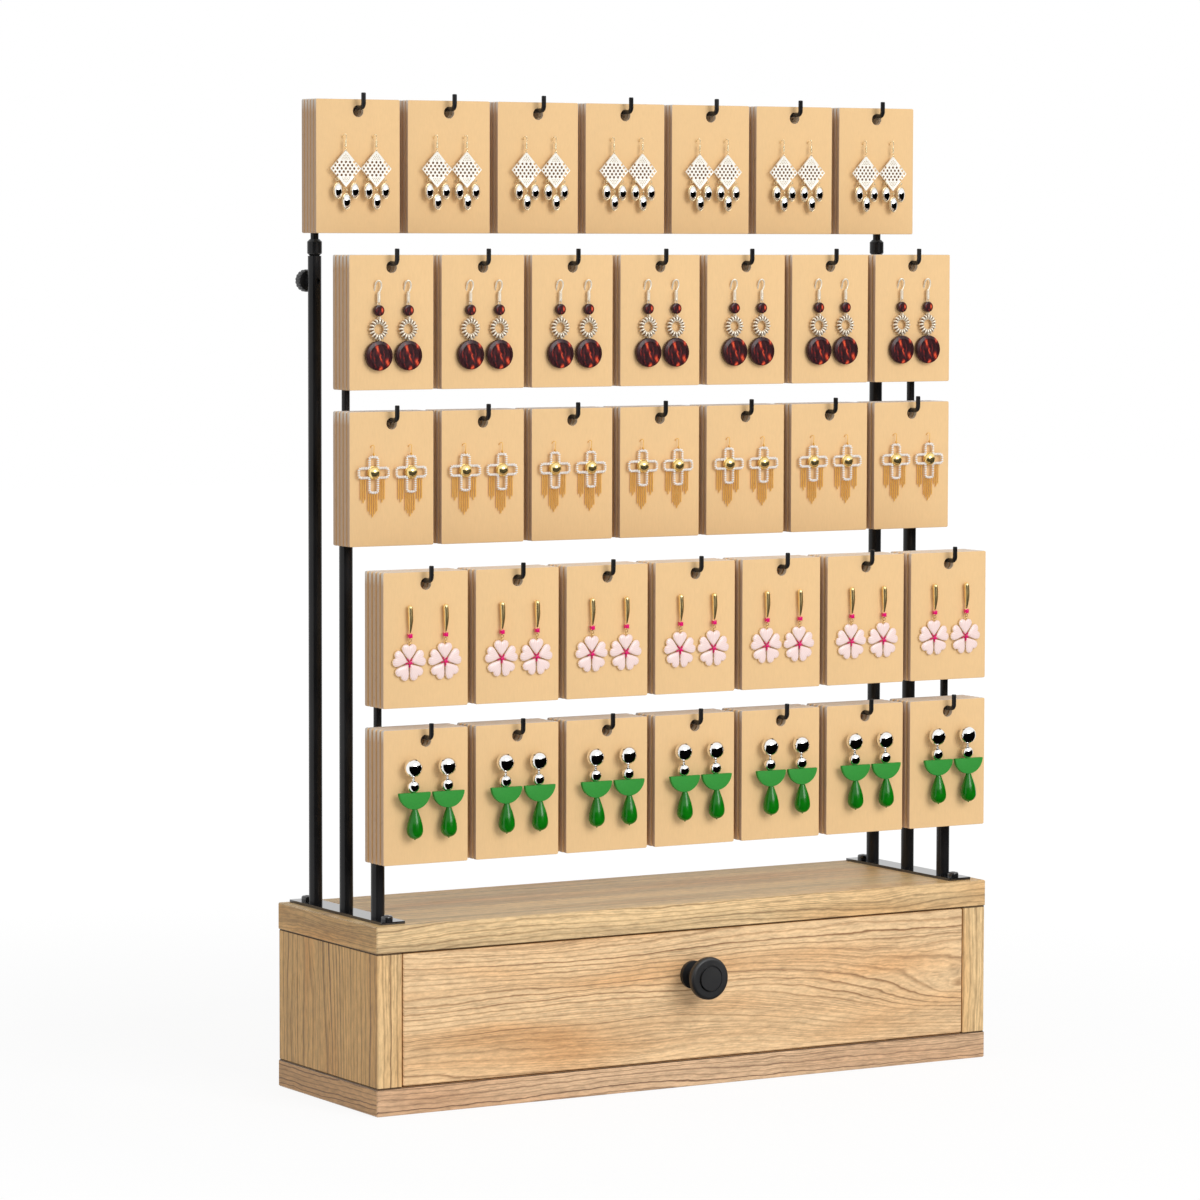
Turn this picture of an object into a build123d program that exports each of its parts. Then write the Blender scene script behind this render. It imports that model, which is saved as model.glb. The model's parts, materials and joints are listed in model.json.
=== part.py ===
from build123d import *
import math
import os

os.makedirs("parts", exist_ok=True)

# Earring display stand: a drawer box, three pairs of telescopic posts and five rows of hooked cards.
# Millimetres. X runs to the right, Y to the back, Z up. The origin is the middle of the box on the floor.

# Box of boards and panels
box_width = 400.0
box_depth = 117.0
board_thickness = 15.0
side_height = 73.5
panel_inset = 0.5
edge_break = 0.6
back_thickness = 6.0
back_inset = 1.0
dowel_diameter = 6.0
dowel_depth = 10.0
dowel_edge_inset = 20.5
dowel_clearance = 0.05

# Drawer
front_gap = 0.7
front_thickness = 15.0
drawer_wall = 9.0
drawer_wall_height = 52.0
drawer_wall_setback = 0.8
drawer_rear_gap = 2.0
drawer_floor_gap = 0.4
drawer_bottom_thickness = 4.0
drawer_bottom_rise = 4.0
groove_depth = 4.0

# Knob and its screw
knob_rise = 11.5
knob_length = 20.6
knob_flange_radius = 7.9
knob_flange_thickness = 2.4
knob_neck_radius = 4.6
knob_neck_length = 5.0
knob_head_radius = 12.0
knob_rim_width = 4.6
knob_rim_round = 1.8
knob_button_radius = 6.6
knob_button_rise = 0.9
knob_groove_width = 0.9
knob_groove_depth = 0.7
knob_screw_diameter = 4.0
knob_screw_engagement = 9.0
knob_screw_head_diameter = 8.0
knob_screw_head_height = 2.6
screw_clearance = 0.1

# Foot plates and their screws
plate_width = 15.0
plate_front_inset = 6.2
plate_rear_inset = 1.8
plate_thickness = 1.5
plate_corner = 1.0
plate_screw_inset = 7.5
plate_screw_diameter = 3.0
plate_screw_length = 12.0
plate_screw_head_diameter = 6.4
plate_screw_head_height = 2.6
plate_screw_head_round = 1.2
plate_screw_socket = 2.6
plate_screw_socket_depth = 1.2

# Telescopic posts
post_side_inset = 13.5
post_front_inset = 24.3
post_rear_inset = 19.7
tube_diameter = 7.5
rod_diameter = 4.5
slide_clearance = 0.1
rear_slide_room = 67.4
middle_slide_room = 26.4
front_slide_room = 21.4
rear_rod_engagement = 150.0
middle_rod_engagement = 110.0
front_rod_end_gap = 19.0
rod_end_break = 0.4
collar_diameter = 8.2
collar_height = 9.2
collar_bevel = 1.4

# Thumb screws, behind the rear tubes and turned inwards on the others
thumb_drop = 13.8
thumb_shank_diameter = 3.0
thumb_shank_clearance = 0.05
thumb_tip_gap = 0.3
thumb_boss_diameter = 6.0
thumb_boss_rise = 2.2
thumb_head_diameter = 12.4
thumb_head_thickness = 5.0
thumb_head_gap = 0.9
thumb_head_bevel = 0.6
thumb_grip_count = 18
thumb_grip_diameter = 1.1
thumb_inward_turn = 45.0

# Cards, hung in stacks
cards_per_row = 7
cards_per_stack = 5
card_end_inset = 3.0
card_height = 73.3
card_thickness = 2.9
rear_card_spacing = 3.6
middle_card_spacing = 4.1
front_card_spacing = 4.6
card_corner = 0.8
column_gap = 5.0
row_gap = 11.7
low_row_clearance = 33.2
card_post_gap = 0.8
card_hole_diameter = 6.6
card_hole_drop = 6.6

# Hooks and cross bars
hook_diameter = 2.6
hook_seat_gap = 0.1
hook_overhang = 6.3
hook_bend_radius = 2.6
hook_tip_rise = 3.5
hook_tip_round = 0.5
bar_thickness = 3.0
bar_height = 6.0
bar_sink = 1.5
bar_end = 4.0
weld_gap = 0.05

# Earrings in general
wire_diameter = 0.9
wire_bend_radius = 1.6
link_diameter = 0.8
link_gap = 0.1
earring_gap = 0.5

# Row 1: pierced rhombs with oval drops
rhomb_pitch = 18.9
rhomb_width = 18.7
rhomb_height = 20.1
rhomb_thickness = 1.0
rhomb_drop = 38.0
rhomb_wire_drop = 19.0
rhomb_hole_diameter = 1.1
rhomb_hole_step = 2.6
rhomb_hole_row_step = 1.77
rhomb_hole_rows = (5, 6, 7, 6, 5)
oval_width = 5.6
oval_height = 8.0
oval_side_offset = 5.2
oval_side_drop = 50.4
oval_low_drop = 56.8

# Row 2: wrapped rings between mottled discs
ring_pitch = 18.2
ring_wire_drop = 14.2
bead_diameter = 6.0
bead_thickness = 2.2
bead_drop = 30.1
ring_outer_diameter = 11.6
ring_inner_diameter = 5.0
ring_drop = 40.2
disc_diameter = 16.2
disc_thickness = 2.4
disc_drop = 54.6
disc_edge_round = 0.5

# Row 3: beaded crosses with chain fringes
cross_pitch = 23.2
cross_width = 20.2
cross_height = 21.4
cross_lower = 1.0
cross_arm = 7.4
cross_wall = 1.4
cross_corner = 1.6
cross_drop = 33.1
cross_standoff = 2.3
cross_ball_diameter = 6.2
fringe_thickness = 0.6
fringe_gap = 0.1
fringe_side_width = 3.4
fringe_side_offset = 5.9
fringe_side_drop = 50.2
fringe_middle_width = 6.0
fringe_middle_drop = 58.0
fringe_point = 3.2

# Row 4: flowers under slender bars
flower_pitch = 21.9
flower_petals = 5
flower_drop = 48.7
flower_thickness = 1.8
petal_lobe_radius = 2.45
petal_reach = 7.6
petal_spread = 1.95
petal_root = 1.0
flower_heart_radius = 1.5
flower_heart_rise = 0.7
slim_bar_top_drop = 18.0
slim_bar_length = 14.6
slim_bar_diameter = 2.7
slim_bar_end_diameter = 0.8
slim_bar_facets = 8
gem_size = 2.6
gem_depth = 2.0

# Row 5: mirror balls over half discs and drops
ball_pitch = 20.9
ball_large_diameter = 9.3
ball_large_drop = 20.9
ball_medium_diameter = 6.5
ball_medium_drop = 30.4
half_disc_radius = 9.7
half_disc_depth = 9.1
half_disc_thickness = 2.2
tear_diameter = 9.0
tear_length = 16.0

overrun = 2.0

# Heights and places that follow from the sizes above
box_top = board_thickness + side_height + board_thickness
side_top = board_thickness + side_height
box_front = -box_depth / 2
box_rear = box_depth / 2
opening_width = box_width - 2 * (panel_inset + board_thickness)
panel_middle = box_width / 2 - panel_inset - board_thickness / 2
dowel_spacing = box_depth - 2 * dowel_edge_inset
plate_top = box_top + plate_thickness
plate_length = box_depth - plate_front_inset - plate_rear_inset
plate_middle = (plate_front_inset - plate_rear_inset) / 2
plate_screw_spacing = plate_length - 2 * plate_screw_inset
post_spacing = box_width - 2 * post_side_inset
post_x = post_spacing / 2
tube_radius = tube_diameter / 2
rod_radius = rod_diameter / 2
bore_radius = rod_radius + slide_clearance
row_step = card_height + row_gap
card_width = (box_width - 2 * card_end_inset - (cards_per_row - 1) * column_gap) / cards_per_row
column_step = card_width + column_gap
peg_drop = card_hole_drop - (card_hole_diameter - hook_diameter) / 2 + hook_seat_gap

post_names = ("rear", "middle", "front")
rear_post_y = box_rear - post_rear_inset
front_post_y = box_front + post_front_inset
post_y = {"rear": rear_post_y, "middle": (rear_post_y + front_post_y) / 2, "front": front_post_y}
post_of_row = {1: "rear", 2: "middle", 3: "middle", 4: "front", 5: "front"}
top_row_of_post = {"rear": 1, "middle": 2, "front": 4}
lowest_row = 5
lower_row_of_post = {"rear": 1, "middle": 3, "front": 5}
slide_room = {"rear": rear_slide_room, "middle": middle_slide_room, "front": front_slide_room}
card_spacing = {"rear": rear_card_spacing, "middle": middle_card_spacing, "front": front_card_spacing}
stack_depth = {post: (cards_per_stack - 1) * card_spacing[post] + card_thickness for post in post_names}
thumb_turn = {"rear": 0.0, "middle": thumb_inward_turn, "front": thumb_inward_turn}
sides = {"left": -1, "right": 1}


def card_top(row):
    return box_top + low_row_clearance + card_height + (lowest_row - row) * row_step


def card_front(row):
    post = post_of_row[row]
    return post_y[post] - collar_diameter / 2 - card_post_gap - stack_depth[post]


def peg_height(row):
    return card_top(row) - peg_drop


def bar_bottom(row):
    return peg_height(row) - bar_sink - bar_height / 2


def tube_top_under(row, room):
    return bar_bottom(row) - room - collar_height


def column_places():
    first = -(cards_per_row - 1) / 2 * column_step
    return [first + column * column_step for column in range(cards_per_row)]


def thumb_plane(post, sign, distance):
    turn = math.radians(thumb_turn[post])
    outward = (-sign * math.sin(turn), math.cos(turn), 0)
    across = (math.cos(turn), sign * math.sin(turn), 0)
    start = (sign * post_x + outward[0] * distance, post_y[post] + outward[1] * distance)
    return Plane((*start, tube_top[post] - thumb_drop), x_dir=across, z_dir=outward)


def save(piece, name):
    piece.part.label = name
    export_step(piece.part, f"parts/{name}.step")


# Tube ends stand below the lowest cross bar of their rods, with room for it to slide down
tube_top = {post: tube_top_under(lower_row_of_post[post], slide_room[post]) for post in post_names}
tube_length = {post: tube_top[post] - plate_top for post in post_names}
rod_engagement = {
    "rear": rear_rod_engagement,
    "middle": middle_rod_engagement,
    "front": tube_length["front"] - front_rod_end_gap,
}

# Bottom and top boards, with dowel holes facing each other and pilot holes for the plate screws
dowel_places = GridLocations(2 * panel_middle, dowel_spacing, 2, 2)
dowel_hole_radius = dowel_diameter / 2 + dowel_clearance
plate_screw_ends = [plate_middle + end * plate_screw_spacing / 2 for end in sides.values()]
plate_screw_places = Locations(*[(sign * post_x, y) for sign in sides.values() for y in plate_screw_ends])

with BuildPart() as bottom_board:
    with BuildSketch():
        Rectangle(box_width, box_depth)
    extrude(amount=board_thickness)
    chamfer(bottom_board.edges(), length=edge_break)
    with BuildSketch(Plane.XY.offset(board_thickness)):
        with dowel_places:
            Circle(dowel_hole_radius)
    extrude(amount=-(dowel_depth + dowel_clearance), mode=Mode.SUBTRACT)
save(bottom_board, "bottom_board")

with BuildPart() as top_board:
    with BuildSketch(Plane.XY.offset(side_top)):
        Rectangle(box_width, box_depth)
    extrude(amount=board_thickness)
    chamfer(top_board.edges(), length=edge_break)
    with BuildSketch(Plane.XY.offset(side_top)):
        with dowel_places:
            Circle(dowel_hole_radius)
    extrude(amount=dowel_depth + dowel_clearance, mode=Mode.SUBTRACT)
    with BuildSketch(Plane.XY.offset(box_top)):
        with plate_screw_places:
            Circle(plate_screw_diameter / 2 + screw_clearance)
    extrude(amount=-(plate_screw_length - plate_thickness + screw_clearance), mode=Mode.SUBTRACT)
save(top_board, "top_board")

# Side panels, bored at both ends for the dowels
for side, sign in sides.items():
    with BuildPart() as side_panel:
        with BuildSketch(Plane.XY.offset(board_thickness)):
            with Locations((sign * panel_middle, 0)):
                Rectangle(board_thickness, box_depth)
        extrude(amount=side_height)
        chamfer(side_panel.edges(), length=edge_break)
        with BuildSketch(Plane.XY.offset(board_thickness)):
            with Locations((sign * panel_middle, 0)):
                with GridLocations(0, dowel_spacing, 1, 2):
                    Circle(dowel_hole_radius)
        extrude(amount=dowel_depth + dowel_clearance, mode=Mode.SUBTRACT)
        with BuildSketch(Plane.XY.offset(side_top)):
            with Locations((sign * panel_middle, 0)):
                with GridLocations(0, dowel_spacing, 1, 2):
                    Circle(dowel_hole_radius)
        extrude(amount=-(dowel_depth + dowel_clearance), mode=Mode.SUBTRACT)
    save(side_panel, f"{side}_side_panel")

# Back panel between the side panels
back_front = box_rear - back_inset - back_thickness
with BuildPart() as back_panel:
    with BuildSketch(Plane.XY.offset(board_thickness)):
        with Locations((0, back_front + back_thickness / 2)):
            Rectangle(opening_width, back_thickness)
    extrude(amount=side_height)
save(back_panel, "back_panel")

# Dowels across the four joints
with BuildPart() as dowels:
    for joint_height in (board_thickness, side_top):
        with BuildSketch(Plane.XY.offset(joint_height - dowel_depth)):
            with dowel_places:
                Circle(dowel_diameter / 2)
        extrude(amount=2 * dowel_depth)
save(dowels, "panel_dowels")

# Drawer: front, walls and a bottom panel held in grooves
front_width = opening_width - 2 * front_gap
front_height = side_height - 2 * front_gap
front_rear = box_front + front_thickness
drawer_floor = board_thickness + drawer_floor_gap
drawer_rear = back_front - drawer_rear_gap
drawer_outer = front_width / 2 - drawer_wall_setback
drawer_inner = drawer_outer - drawer_wall
panel_bottom = drawer_floor + drawer_bottom_rise
panel_front = front_rear - groove_depth
panel_length = drawer_rear - panel_front
panel_half_width = drawer_inner + groove_depth
knob_height = board_thickness + side_height / 2 + knob_rise

with BuildPart() as drawer_front:
    with BuildSketch(Plane.XZ.offset(-front_rear)):
        with Locations((0, board_thickness + side_height / 2)):
            Rectangle(front_width, front_height)
    extrude(amount=front_thickness)
    chamfer(drawer_front.edges(), length=edge_break)
    with BuildSketch(Plane.XY.offset(panel_bottom)):
        with Locations((0, panel_front + panel_length / 2)):
            Rectangle(2 * panel_half_width, panel_length)
    extrude(amount=drawer_bottom_thickness, mode=Mode.SUBTRACT)
    with BuildSketch(Plane.XZ.offset(-front_rear)):
        with Locations((0, knob_height)):
            Circle(knob_screw_diameter / 2 + screw_clearance)
    extrude(amount=front_thickness, mode=Mode.SUBTRACT)
save(drawer_front, "drawer_front")

for side, sign in sides.items():
    with BuildPart() as drawer_side:
        with BuildSketch(Plane.XY.offset(drawer_floor)):
            with Locations((sign * (drawer_outer - drawer_wall / 2), (front_rear + drawer_rear) / 2)):
                Rectangle(drawer_wall, drawer_rear - front_rear)
        extrude(amount=drawer_wall_height)
        with BuildSketch(Plane.XY.offset(panel_bottom)):
            with Locations((0, panel_front + panel_length / 2)):
                Rectangle(2 * panel_half_width, panel_length + overrun)
        extrude(amount=drawer_bottom_thickness, mode=Mode.SUBTRACT)
    save(drawer_side, f"drawer_{side}_wall")

rear_wall_bottom = panel_bottom + drawer_bottom_thickness
with BuildPart() as drawer_back:
    with BuildSketch(Plane.XY.offset(rear_wall_bottom)):
        with Locations((0, drawer_rear - drawer_wall / 2)):
            Rectangle(2 * drawer_inner, drawer_wall)
    extrude(amount=drawer_floor + drawer_wall_height - rear_wall_bottom)
save(drawer_back, "drawer_rear_wall")

with BuildPart() as drawer_bottom:
    with BuildSketch(Plane.XY.offset(panel_bottom)):
        with Locations((0, panel_front + panel_length / 2)):
            Rectangle(2 * panel_half_width, panel_length)
    extrude(amount=drawer_bottom_thickness)
save(drawer_bottom, "drawer_bottom")

# Turned knob: flange, neck, flared head with a ringed button
knob_plane = Plane((0, box_front, knob_height), x_dir=(1, 0, 0), z_dir=(0, 0, 1))
knob_axis = Axis((0, box_front, knob_height), (0, 1, 0))
neck_end = knob_flange_thickness + knob_neck_length
head_front = knob_length - knob_button_rise
head_rear = head_front - knob_rim_width
groove_radius = knob_button_radius + knob_groove_width
groove_floor = head_front - knob_groove_depth

with BuildPart() as knob:
    with BuildSketch(knob_plane):
        with BuildLine():
            Polyline(
                (0, 0),
                (knob_flange_radius, 0),
                (knob_flange_radius, -knob_flange_thickness),
                (knob_neck_radius, -knob_flange_thickness),
                (knob_neck_radius, -neck_end),
            )
            TangentArc((knob_neck_radius, -neck_end), (knob_head_radius, -head_rear), tangent=(0, -1))
            Polyline(
                (knob_head_radius, -head_rear),
                (knob_head_radius, -head_front),
                (groove_radius, -head_front),
                (groove_radius, -groove_floor),
                (knob_button_radius, -groove_floor),
                (knob_button_radius, -knob_length),
                (0, -knob_length),
                (0, 0),
            )
        make_face()
    revolve(axis=knob_axis)
    fillet(knob.edges().filter_by(GeomType.CIRCLE).group_by(SortBy.RADIUS)[-1], radius=knob_rim_round)
    with BuildSketch(Plane.XZ.offset(-box_front)):
        with Locations((0, knob_height)):
            Circle(knob_screw_diameter / 2 + screw_clearance)
    extrude(amount=knob_screw_engagement + screw_clearance, mode=Mode.SUBTRACT)
save(knob, "drawer_knob")

with BuildPart() as knob_screw:
    with BuildSketch(Plane.XZ.offset(-front_rear)):
        with Locations((0, knob_height)):
            Circle(knob_screw_diameter / 2)
    extrude(amount=front_thickness + knob_screw_engagement)
    with BuildSketch(Plane.XZ.offset(-front_rear)):
        with Locations((0, knob_height)):
            Circle(knob_screw_head_diameter / 2)
    extrude(amount=-knob_screw_head_height)
save(knob_screw, "knob_screw")

# Foot plates on the box, and the screws that hold them
for side, sign in sides.items():
    with BuildPart() as foot_plate:
        with BuildSketch(Plane.XY.offset(box_top)):
            with Locations((sign * post_x, plate_middle)):
                RectangleRounded(plate_width, plate_length, plate_corner)
                with GridLocations(0, plate_screw_spacing, 1, 2):
                    Circle(plate_screw_diameter / 2 + screw_clearance, mode=Mode.SUBTRACT)
        extrude(amount=plate_thickness)
    save(foot_plate, f"{side}_foot_plate")

with BuildPart() as plate_screws:
    with BuildSketch(Plane.XY.offset(plate_top)):
        with plate_screw_places:
            Circle(plate_screw_head_diameter / 2)
    extrude(amount=plate_screw_head_height)
    head_rims = plate_screws.edges().filter_by(GeomType.CIRCLE).group_by(Axis.Z)[-1]
    fillet(head_rims, radius=plate_screw_head_round)
    with BuildSketch(Plane.XY.offset(plate_top + plate_screw_head_height)):
        with plate_screw_places:
            RegularPolygon(plate_screw_socket / 2, side_count=6)
    extrude(amount=-plate_screw_socket_depth, mode=Mode.SUBTRACT)
    with BuildSketch(Plane.XY.offset(plate_top)):
        with plate_screw_places:
            Circle(plate_screw_diameter / 2)
    extrude(amount=-plate_screw_length)
save(plate_screws, "plate_screws")

# Outer tubes, each with a threaded boss and a drilling through both walls for its thumb screw
boss_rear = tube_radius + thumb_boss_rise
for post in post_names:
    for side, sign in sides.items():
        with BuildPart() as tube:
            with BuildSketch(Plane.XY.offset(plate_top)):
                with Locations((sign * post_x, post_y[post])):
                    Circle(tube_radius)
            extrude(amount=tube_length[post])
            with BuildSketch(thumb_plane(post, sign, 0)):
                Circle(thumb_boss_diameter / 2)
            extrude(amount=boss_rear)
            with BuildSketch(Plane.XY.offset(plate_top)):
                with Locations((sign * post_x, post_y[post])):
                    Circle(bore_radius)
            extrude(amount=tube_length[post], mode=Mode.SUBTRACT)
            with BuildSketch(thumb_plane(post, sign, boss_rear)):
                Circle(thumb_shank_diameter / 2 + thumb_shank_clearance)
            extrude(amount=-(boss_rear + tube_radius + overrun), mode=Mode.SUBTRACT)
        save(tube, f"{post}_{side}_tube")

# Collars that close the tube ends round the rods
with BuildPart() as collars:
    for post in post_names:
        with BuildSketch(Plane.XY.offset(tube_top[post])):
            with Locations((-post_x, post_y[post]), (post_x, post_y[post])):
                Circle(collar_diameter / 2)
        extrude(amount=collar_height)
    chamfer(collars.edges().filter_by(GeomType.CIRCLE), length=collar_bevel)
    for post in post_names:
        with BuildSketch(Plane.XY.offset(tube_top[post])):
            with Locations((-post_x, post_y[post]), (post_x, post_y[post])):
                Circle(bore_radius)
        extrude(amount=collar_height, mode=Mode.SUBTRACT)
save(collars, "tube_collars")

# Inner rods, from inside the tubes up to the cross bar they carry
for post in post_names:
    rod_bottom = tube_top[post] - rod_engagement[post]
    rod_length = bar_bottom(top_row_of_post[post]) - rod_bottom
    for side, sign in sides.items():
        with BuildPart() as rod:
            with BuildSketch(Plane.XY.offset(rod_bottom)):
                with Locations((sign * post_x, post_y[post])):
                    Circle(rod_radius)
            extrude(amount=rod_length)
            chamfer(rod.edges().group_by(Axis.Z)[0], length=rod_end_break)
        save(rod, f"{post}_{side}_rod")

# Thumb screws: a gripped head and a shank through the boss to the rod
head_front_offset = boss_rear + thumb_head_gap
shank_tip_offset = rod_radius + thumb_tip_gap
for post in post_names:
    for side, sign in sides.items():
        with BuildPart() as thumb_screw:
            with BuildSketch(thumb_plane(post, sign, head_front_offset)):
                Circle(thumb_head_diameter / 2)
            extrude(amount=thumb_head_thickness)
            chamfer(thumb_screw.edges().filter_by(GeomType.CIRCLE), length=thumb_head_bevel)
            with BuildSketch(thumb_plane(post, sign, head_front_offset)):
                with PolarLocations(thumb_head_diameter / 2, thumb_grip_count):
                    Circle(thumb_grip_diameter / 2)
            extrude(amount=thumb_head_thickness, mode=Mode.SUBTRACT)
            with BuildSketch(thumb_plane(post, sign, shank_tip_offset)):
                Circle(thumb_shank_diameter / 2)
            extrude(amount=head_front_offset - shank_tip_offset)
        save(thumb_screw, f"{post}_{side}_thumb_screw")

# Cross bars: the upper one of a pair of rods stands on their ends, a lower one fits between them
for row, post in post_of_row.items():
    on_rod_ends = top_row_of_post[post] == row
    bar_length = post_spacing + 2 * bar_end if on_rod_ends else post_spacing
    with BuildPart() as bar:
        with BuildSketch(Plane.XZ.offset(-(post_y[post] + bar_thickness / 2))):
            with Locations((0, peg_height(row) - bar_sink)):
                Rectangle(bar_length, bar_height)
        extrude(amount=bar_thickness)
        if not on_rod_ends:
            with BuildSketch(Plane.XY.offset(bar_bottom(row))):
                with Locations((-post_x, post_y[post]), (post_x, post_y[post])):
                    Circle(rod_radius + weld_gap)
            extrude(amount=bar_height, mode=Mode.SUBTRACT)
    save(bar, f"row_{row}_bar")

# Hooks: a peg from the bar, a bend and an upturned tip
hook_rise = peg_drop + hook_tip_rise
for row, post in post_of_row.items():
    bar_face = post_y[post] - bar_thickness / 2
    hook_reach = bar_face - card_front(row) + hook_overhang
    with BuildPart() as hook:
        with BuildLine(Plane.YZ) as hook_line:
            FilletPolyline((0, 0), (-hook_reach, 0), (-hook_reach, hook_rise), radius=hook_bend_radius)
        with BuildSketch(Plane.XZ):
            Circle(hook_diameter / 2)
        sweep(path=hook_line.wire())
        fillet(hook.edges().group_by(Axis.Z)[-1], radius=hook_tip_round)
    with BuildPart() as hooks:
        with Locations(*[(x, bar_face, peg_height(row)) for x in column_places()]):
            add(hook.part)
    save(hooks, f"row_{row}_hooks")

# Stacks of cards, every card on its peg
for row, post in post_of_row.items():
    with BuildPart() as cards:
        for layer in range(cards_per_stack):
            card_rear = card_front(row) + layer * card_spacing[post] + card_thickness
            with BuildSketch(Plane.XZ.offset(-card_rear)):
                with Locations(*[(x, card_top(row) - card_height / 2) for x in column_places()]):
                    RectangleRounded(card_width, card_height, card_corner)
                with Locations(*[(x, card_top(row) - card_hole_drop) for x in column_places()]):
                    Circle(card_hole_diameter / 2, mode=Mode.SUBTRACT)
            extrude(amount=card_thickness)
    save(cards, f"row_{row}_cards")


# Earrings are made once, seen from the front card: X across, Z down from the card's top, -Y away from its face
def ear_wire(top_drop, bottom_drop, standoff):
    with BuildPart() as wire:
        with BuildLine(Plane.YZ) as wire_line:
            FilletPolyline(
                (0, -top_drop), (-standoff, -top_drop), (-standoff, -bottom_drop), radius=wire_bend_radius
            )
        with BuildSketch(Plane((0, 0, -top_drop), x_dir=(1, 0, 0), z_dir=(0, -1, 0))):
            Circle(wire_diameter / 2)
        sweep(path=wire_line.wire())
    return wire.part


def link(x, standoff, top_drop, bottom_drop):
    with BuildPart() as bar:
        with BuildSketch(Plane((x, -standoff, -bottom_drop))):
            Circle(link_diameter / 2)
        extrude(amount=bottom_drop - top_drop)
    return bar.part


def ear_post(drop, standoff):
    with BuildPart() as pin:
        with BuildSketch(Plane((0, 0, -drop), x_dir=(1, 0, 0), z_dir=(0, -1, 0))):
            Circle(wire_diameter / 2)
        extrude(amount=standoff)
    return pin.part


def save_pairs(earring, row, pitch, name):
    places = [
        (x + sign * pitch / 2, card_front(row), card_top(row))
        for x in column_places()
        for sign in sides.values()
    ]
    with BuildPart() as group:
        with Locations(*places):
            add(earring.part)
    save(group, name)


# Row 1: pierced rhomb on an ear wire, with links to three oval drops
rhomb_standoff = earring_gap + oval_width / 2
rhomb_top = rhomb_drop - rhomb_height / 2
rhomb_bottom = rhomb_drop + rhomb_height / 2
rhomb_side_edge = rhomb_drop + rhomb_height / 2 * (1 - 2 * oval_side_offset / rhomb_width)
oval_places = ((-oval_side_offset, oval_side_drop), (oval_side_offset, oval_side_drop), (0, oval_low_drop))

with BuildPart() as rhomb:
    with BuildSketch(Plane((0, -rhomb_standoff + rhomb_thickness / 2, 0), x_dir=(1, 0, 0), z_dir=(0, -1, 0))):
        Polygon(
            (0, -rhomb_top),
            (-rhomb_width / 2, -rhomb_drop),
            (0, -rhomb_bottom),
            (rhomb_width / 2, -rhomb_drop),
            align=None,
        )
        for index, hole_count in enumerate(rhomb_hole_rows):
            row_height = (len(rhomb_hole_rows) // 2 - index) * rhomb_hole_row_step - rhomb_drop
            with Locations((0, row_height)):
                with GridLocations(rhomb_hole_step, 0, hole_count, 1):
                    Circle(rhomb_hole_diameter / 2, mode=Mode.SUBTRACT)
    extrude(amount=rhomb_thickness)
    add(ear_wire(rhomb_wire_drop, rhomb_top + wire_diameter, rhomb_standoff))
    for x, drop in oval_places:
        edge = rhomb_bottom if x == 0 else rhomb_side_edge
        add(link(x, rhomb_standoff, edge - link_diameter, drop - oval_height / 2 - link_gap))
save_pairs(rhomb, 1, rhomb_pitch, "row_1_rhombs")

with BuildPart() as oval_drops:
    for x, drop in oval_places:
        with BuildSketch(Plane((x, -rhomb_standoff, -drop), x_dir=(1, 0, 0), z_dir=(0, -1, 0))):
            Ellipse(oval_width / 2, oval_height / 2)
            with Locations((-oval_width / 2, 0)):
                Rectangle(oval_width, oval_height, mode=Mode.SUBTRACT)
        revolve(axis=Axis((x, -rhomb_standoff, -drop), (0, 0, 1)))
save_pairs(oval_drops, 1, rhomb_pitch, "row_1_drops")

# Row 2: ear wire, small disc, wrapped ring and large disc, one under the other
ring_tube_radius = (ring_outer_diameter - ring_inner_diameter) / 4
ring_middle_radius = (ring_outer_diameter + ring_inner_diameter) / 4
ring_standoff = earring_gap + max(ring_tube_radius, disc_thickness / 2)

with BuildPart() as wrapped_ring:
    with Locations(Location((0, -ring_standoff, -ring_drop), (90, 0, 0))):
        Torus(ring_middle_radius, ring_tube_radius)
    bead_bottom = bead_drop + bead_diameter / 2
    add(link(0, ring_standoff, bead_bottom + link_gap, ring_drop - ring_middle_radius))
    add(link(0, ring_standoff, ring_drop + ring_middle_radius, disc_drop - disc_diameter / 2 - link_gap))
    add(ear_wire(ring_wire_drop, bead_drop - bead_diameter / 2 - link_gap, ring_standoff))
save_pairs(wrapped_ring, 2, ring_pitch, "row_2_rings")

with BuildPart() as mottled_discs:
    for diameter, thickness, drop in (
        (bead_diameter, bead_thickness, bead_drop),
        (disc_diameter, disc_thickness, disc_drop),
    ):
        with BuildSketch(Plane((0, -ring_standoff + thickness / 2, -drop), x_dir=(1, 0, 0), z_dir=(0, -1, 0))):
            Circle(diameter / 2)
        extrude(amount=thickness)
    fillet(mottled_discs.edges().filter_by(GeomType.CIRCLE), radius=disc_edge_round)
save_pairs(mottled_discs, 2, ring_pitch, "row_2_discs")

# Row 3: cross outline round a domed bead with a flat back, and three fringes
cross_plane = Plane((0, -cross_standoff + cross_wall / 2, -cross_drop), x_dir=(1, 0, 0), z_dir=(0, -1, 0))
cross_inner_arm = cross_arm - 2 * cross_wall
cross_inner_width = cross_width - 2 * cross_wall
cross_inner_height = cross_height - 2 * cross_wall
cross_inner_corner = cross_corner / 2

with BuildPart() as dome:
    with Locations((0, -cross_standoff, -cross_drop)):
        Sphere(cross_ball_diameter / 2)
    split(bisect_by=Plane.XZ.offset(earring_gap))

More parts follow.
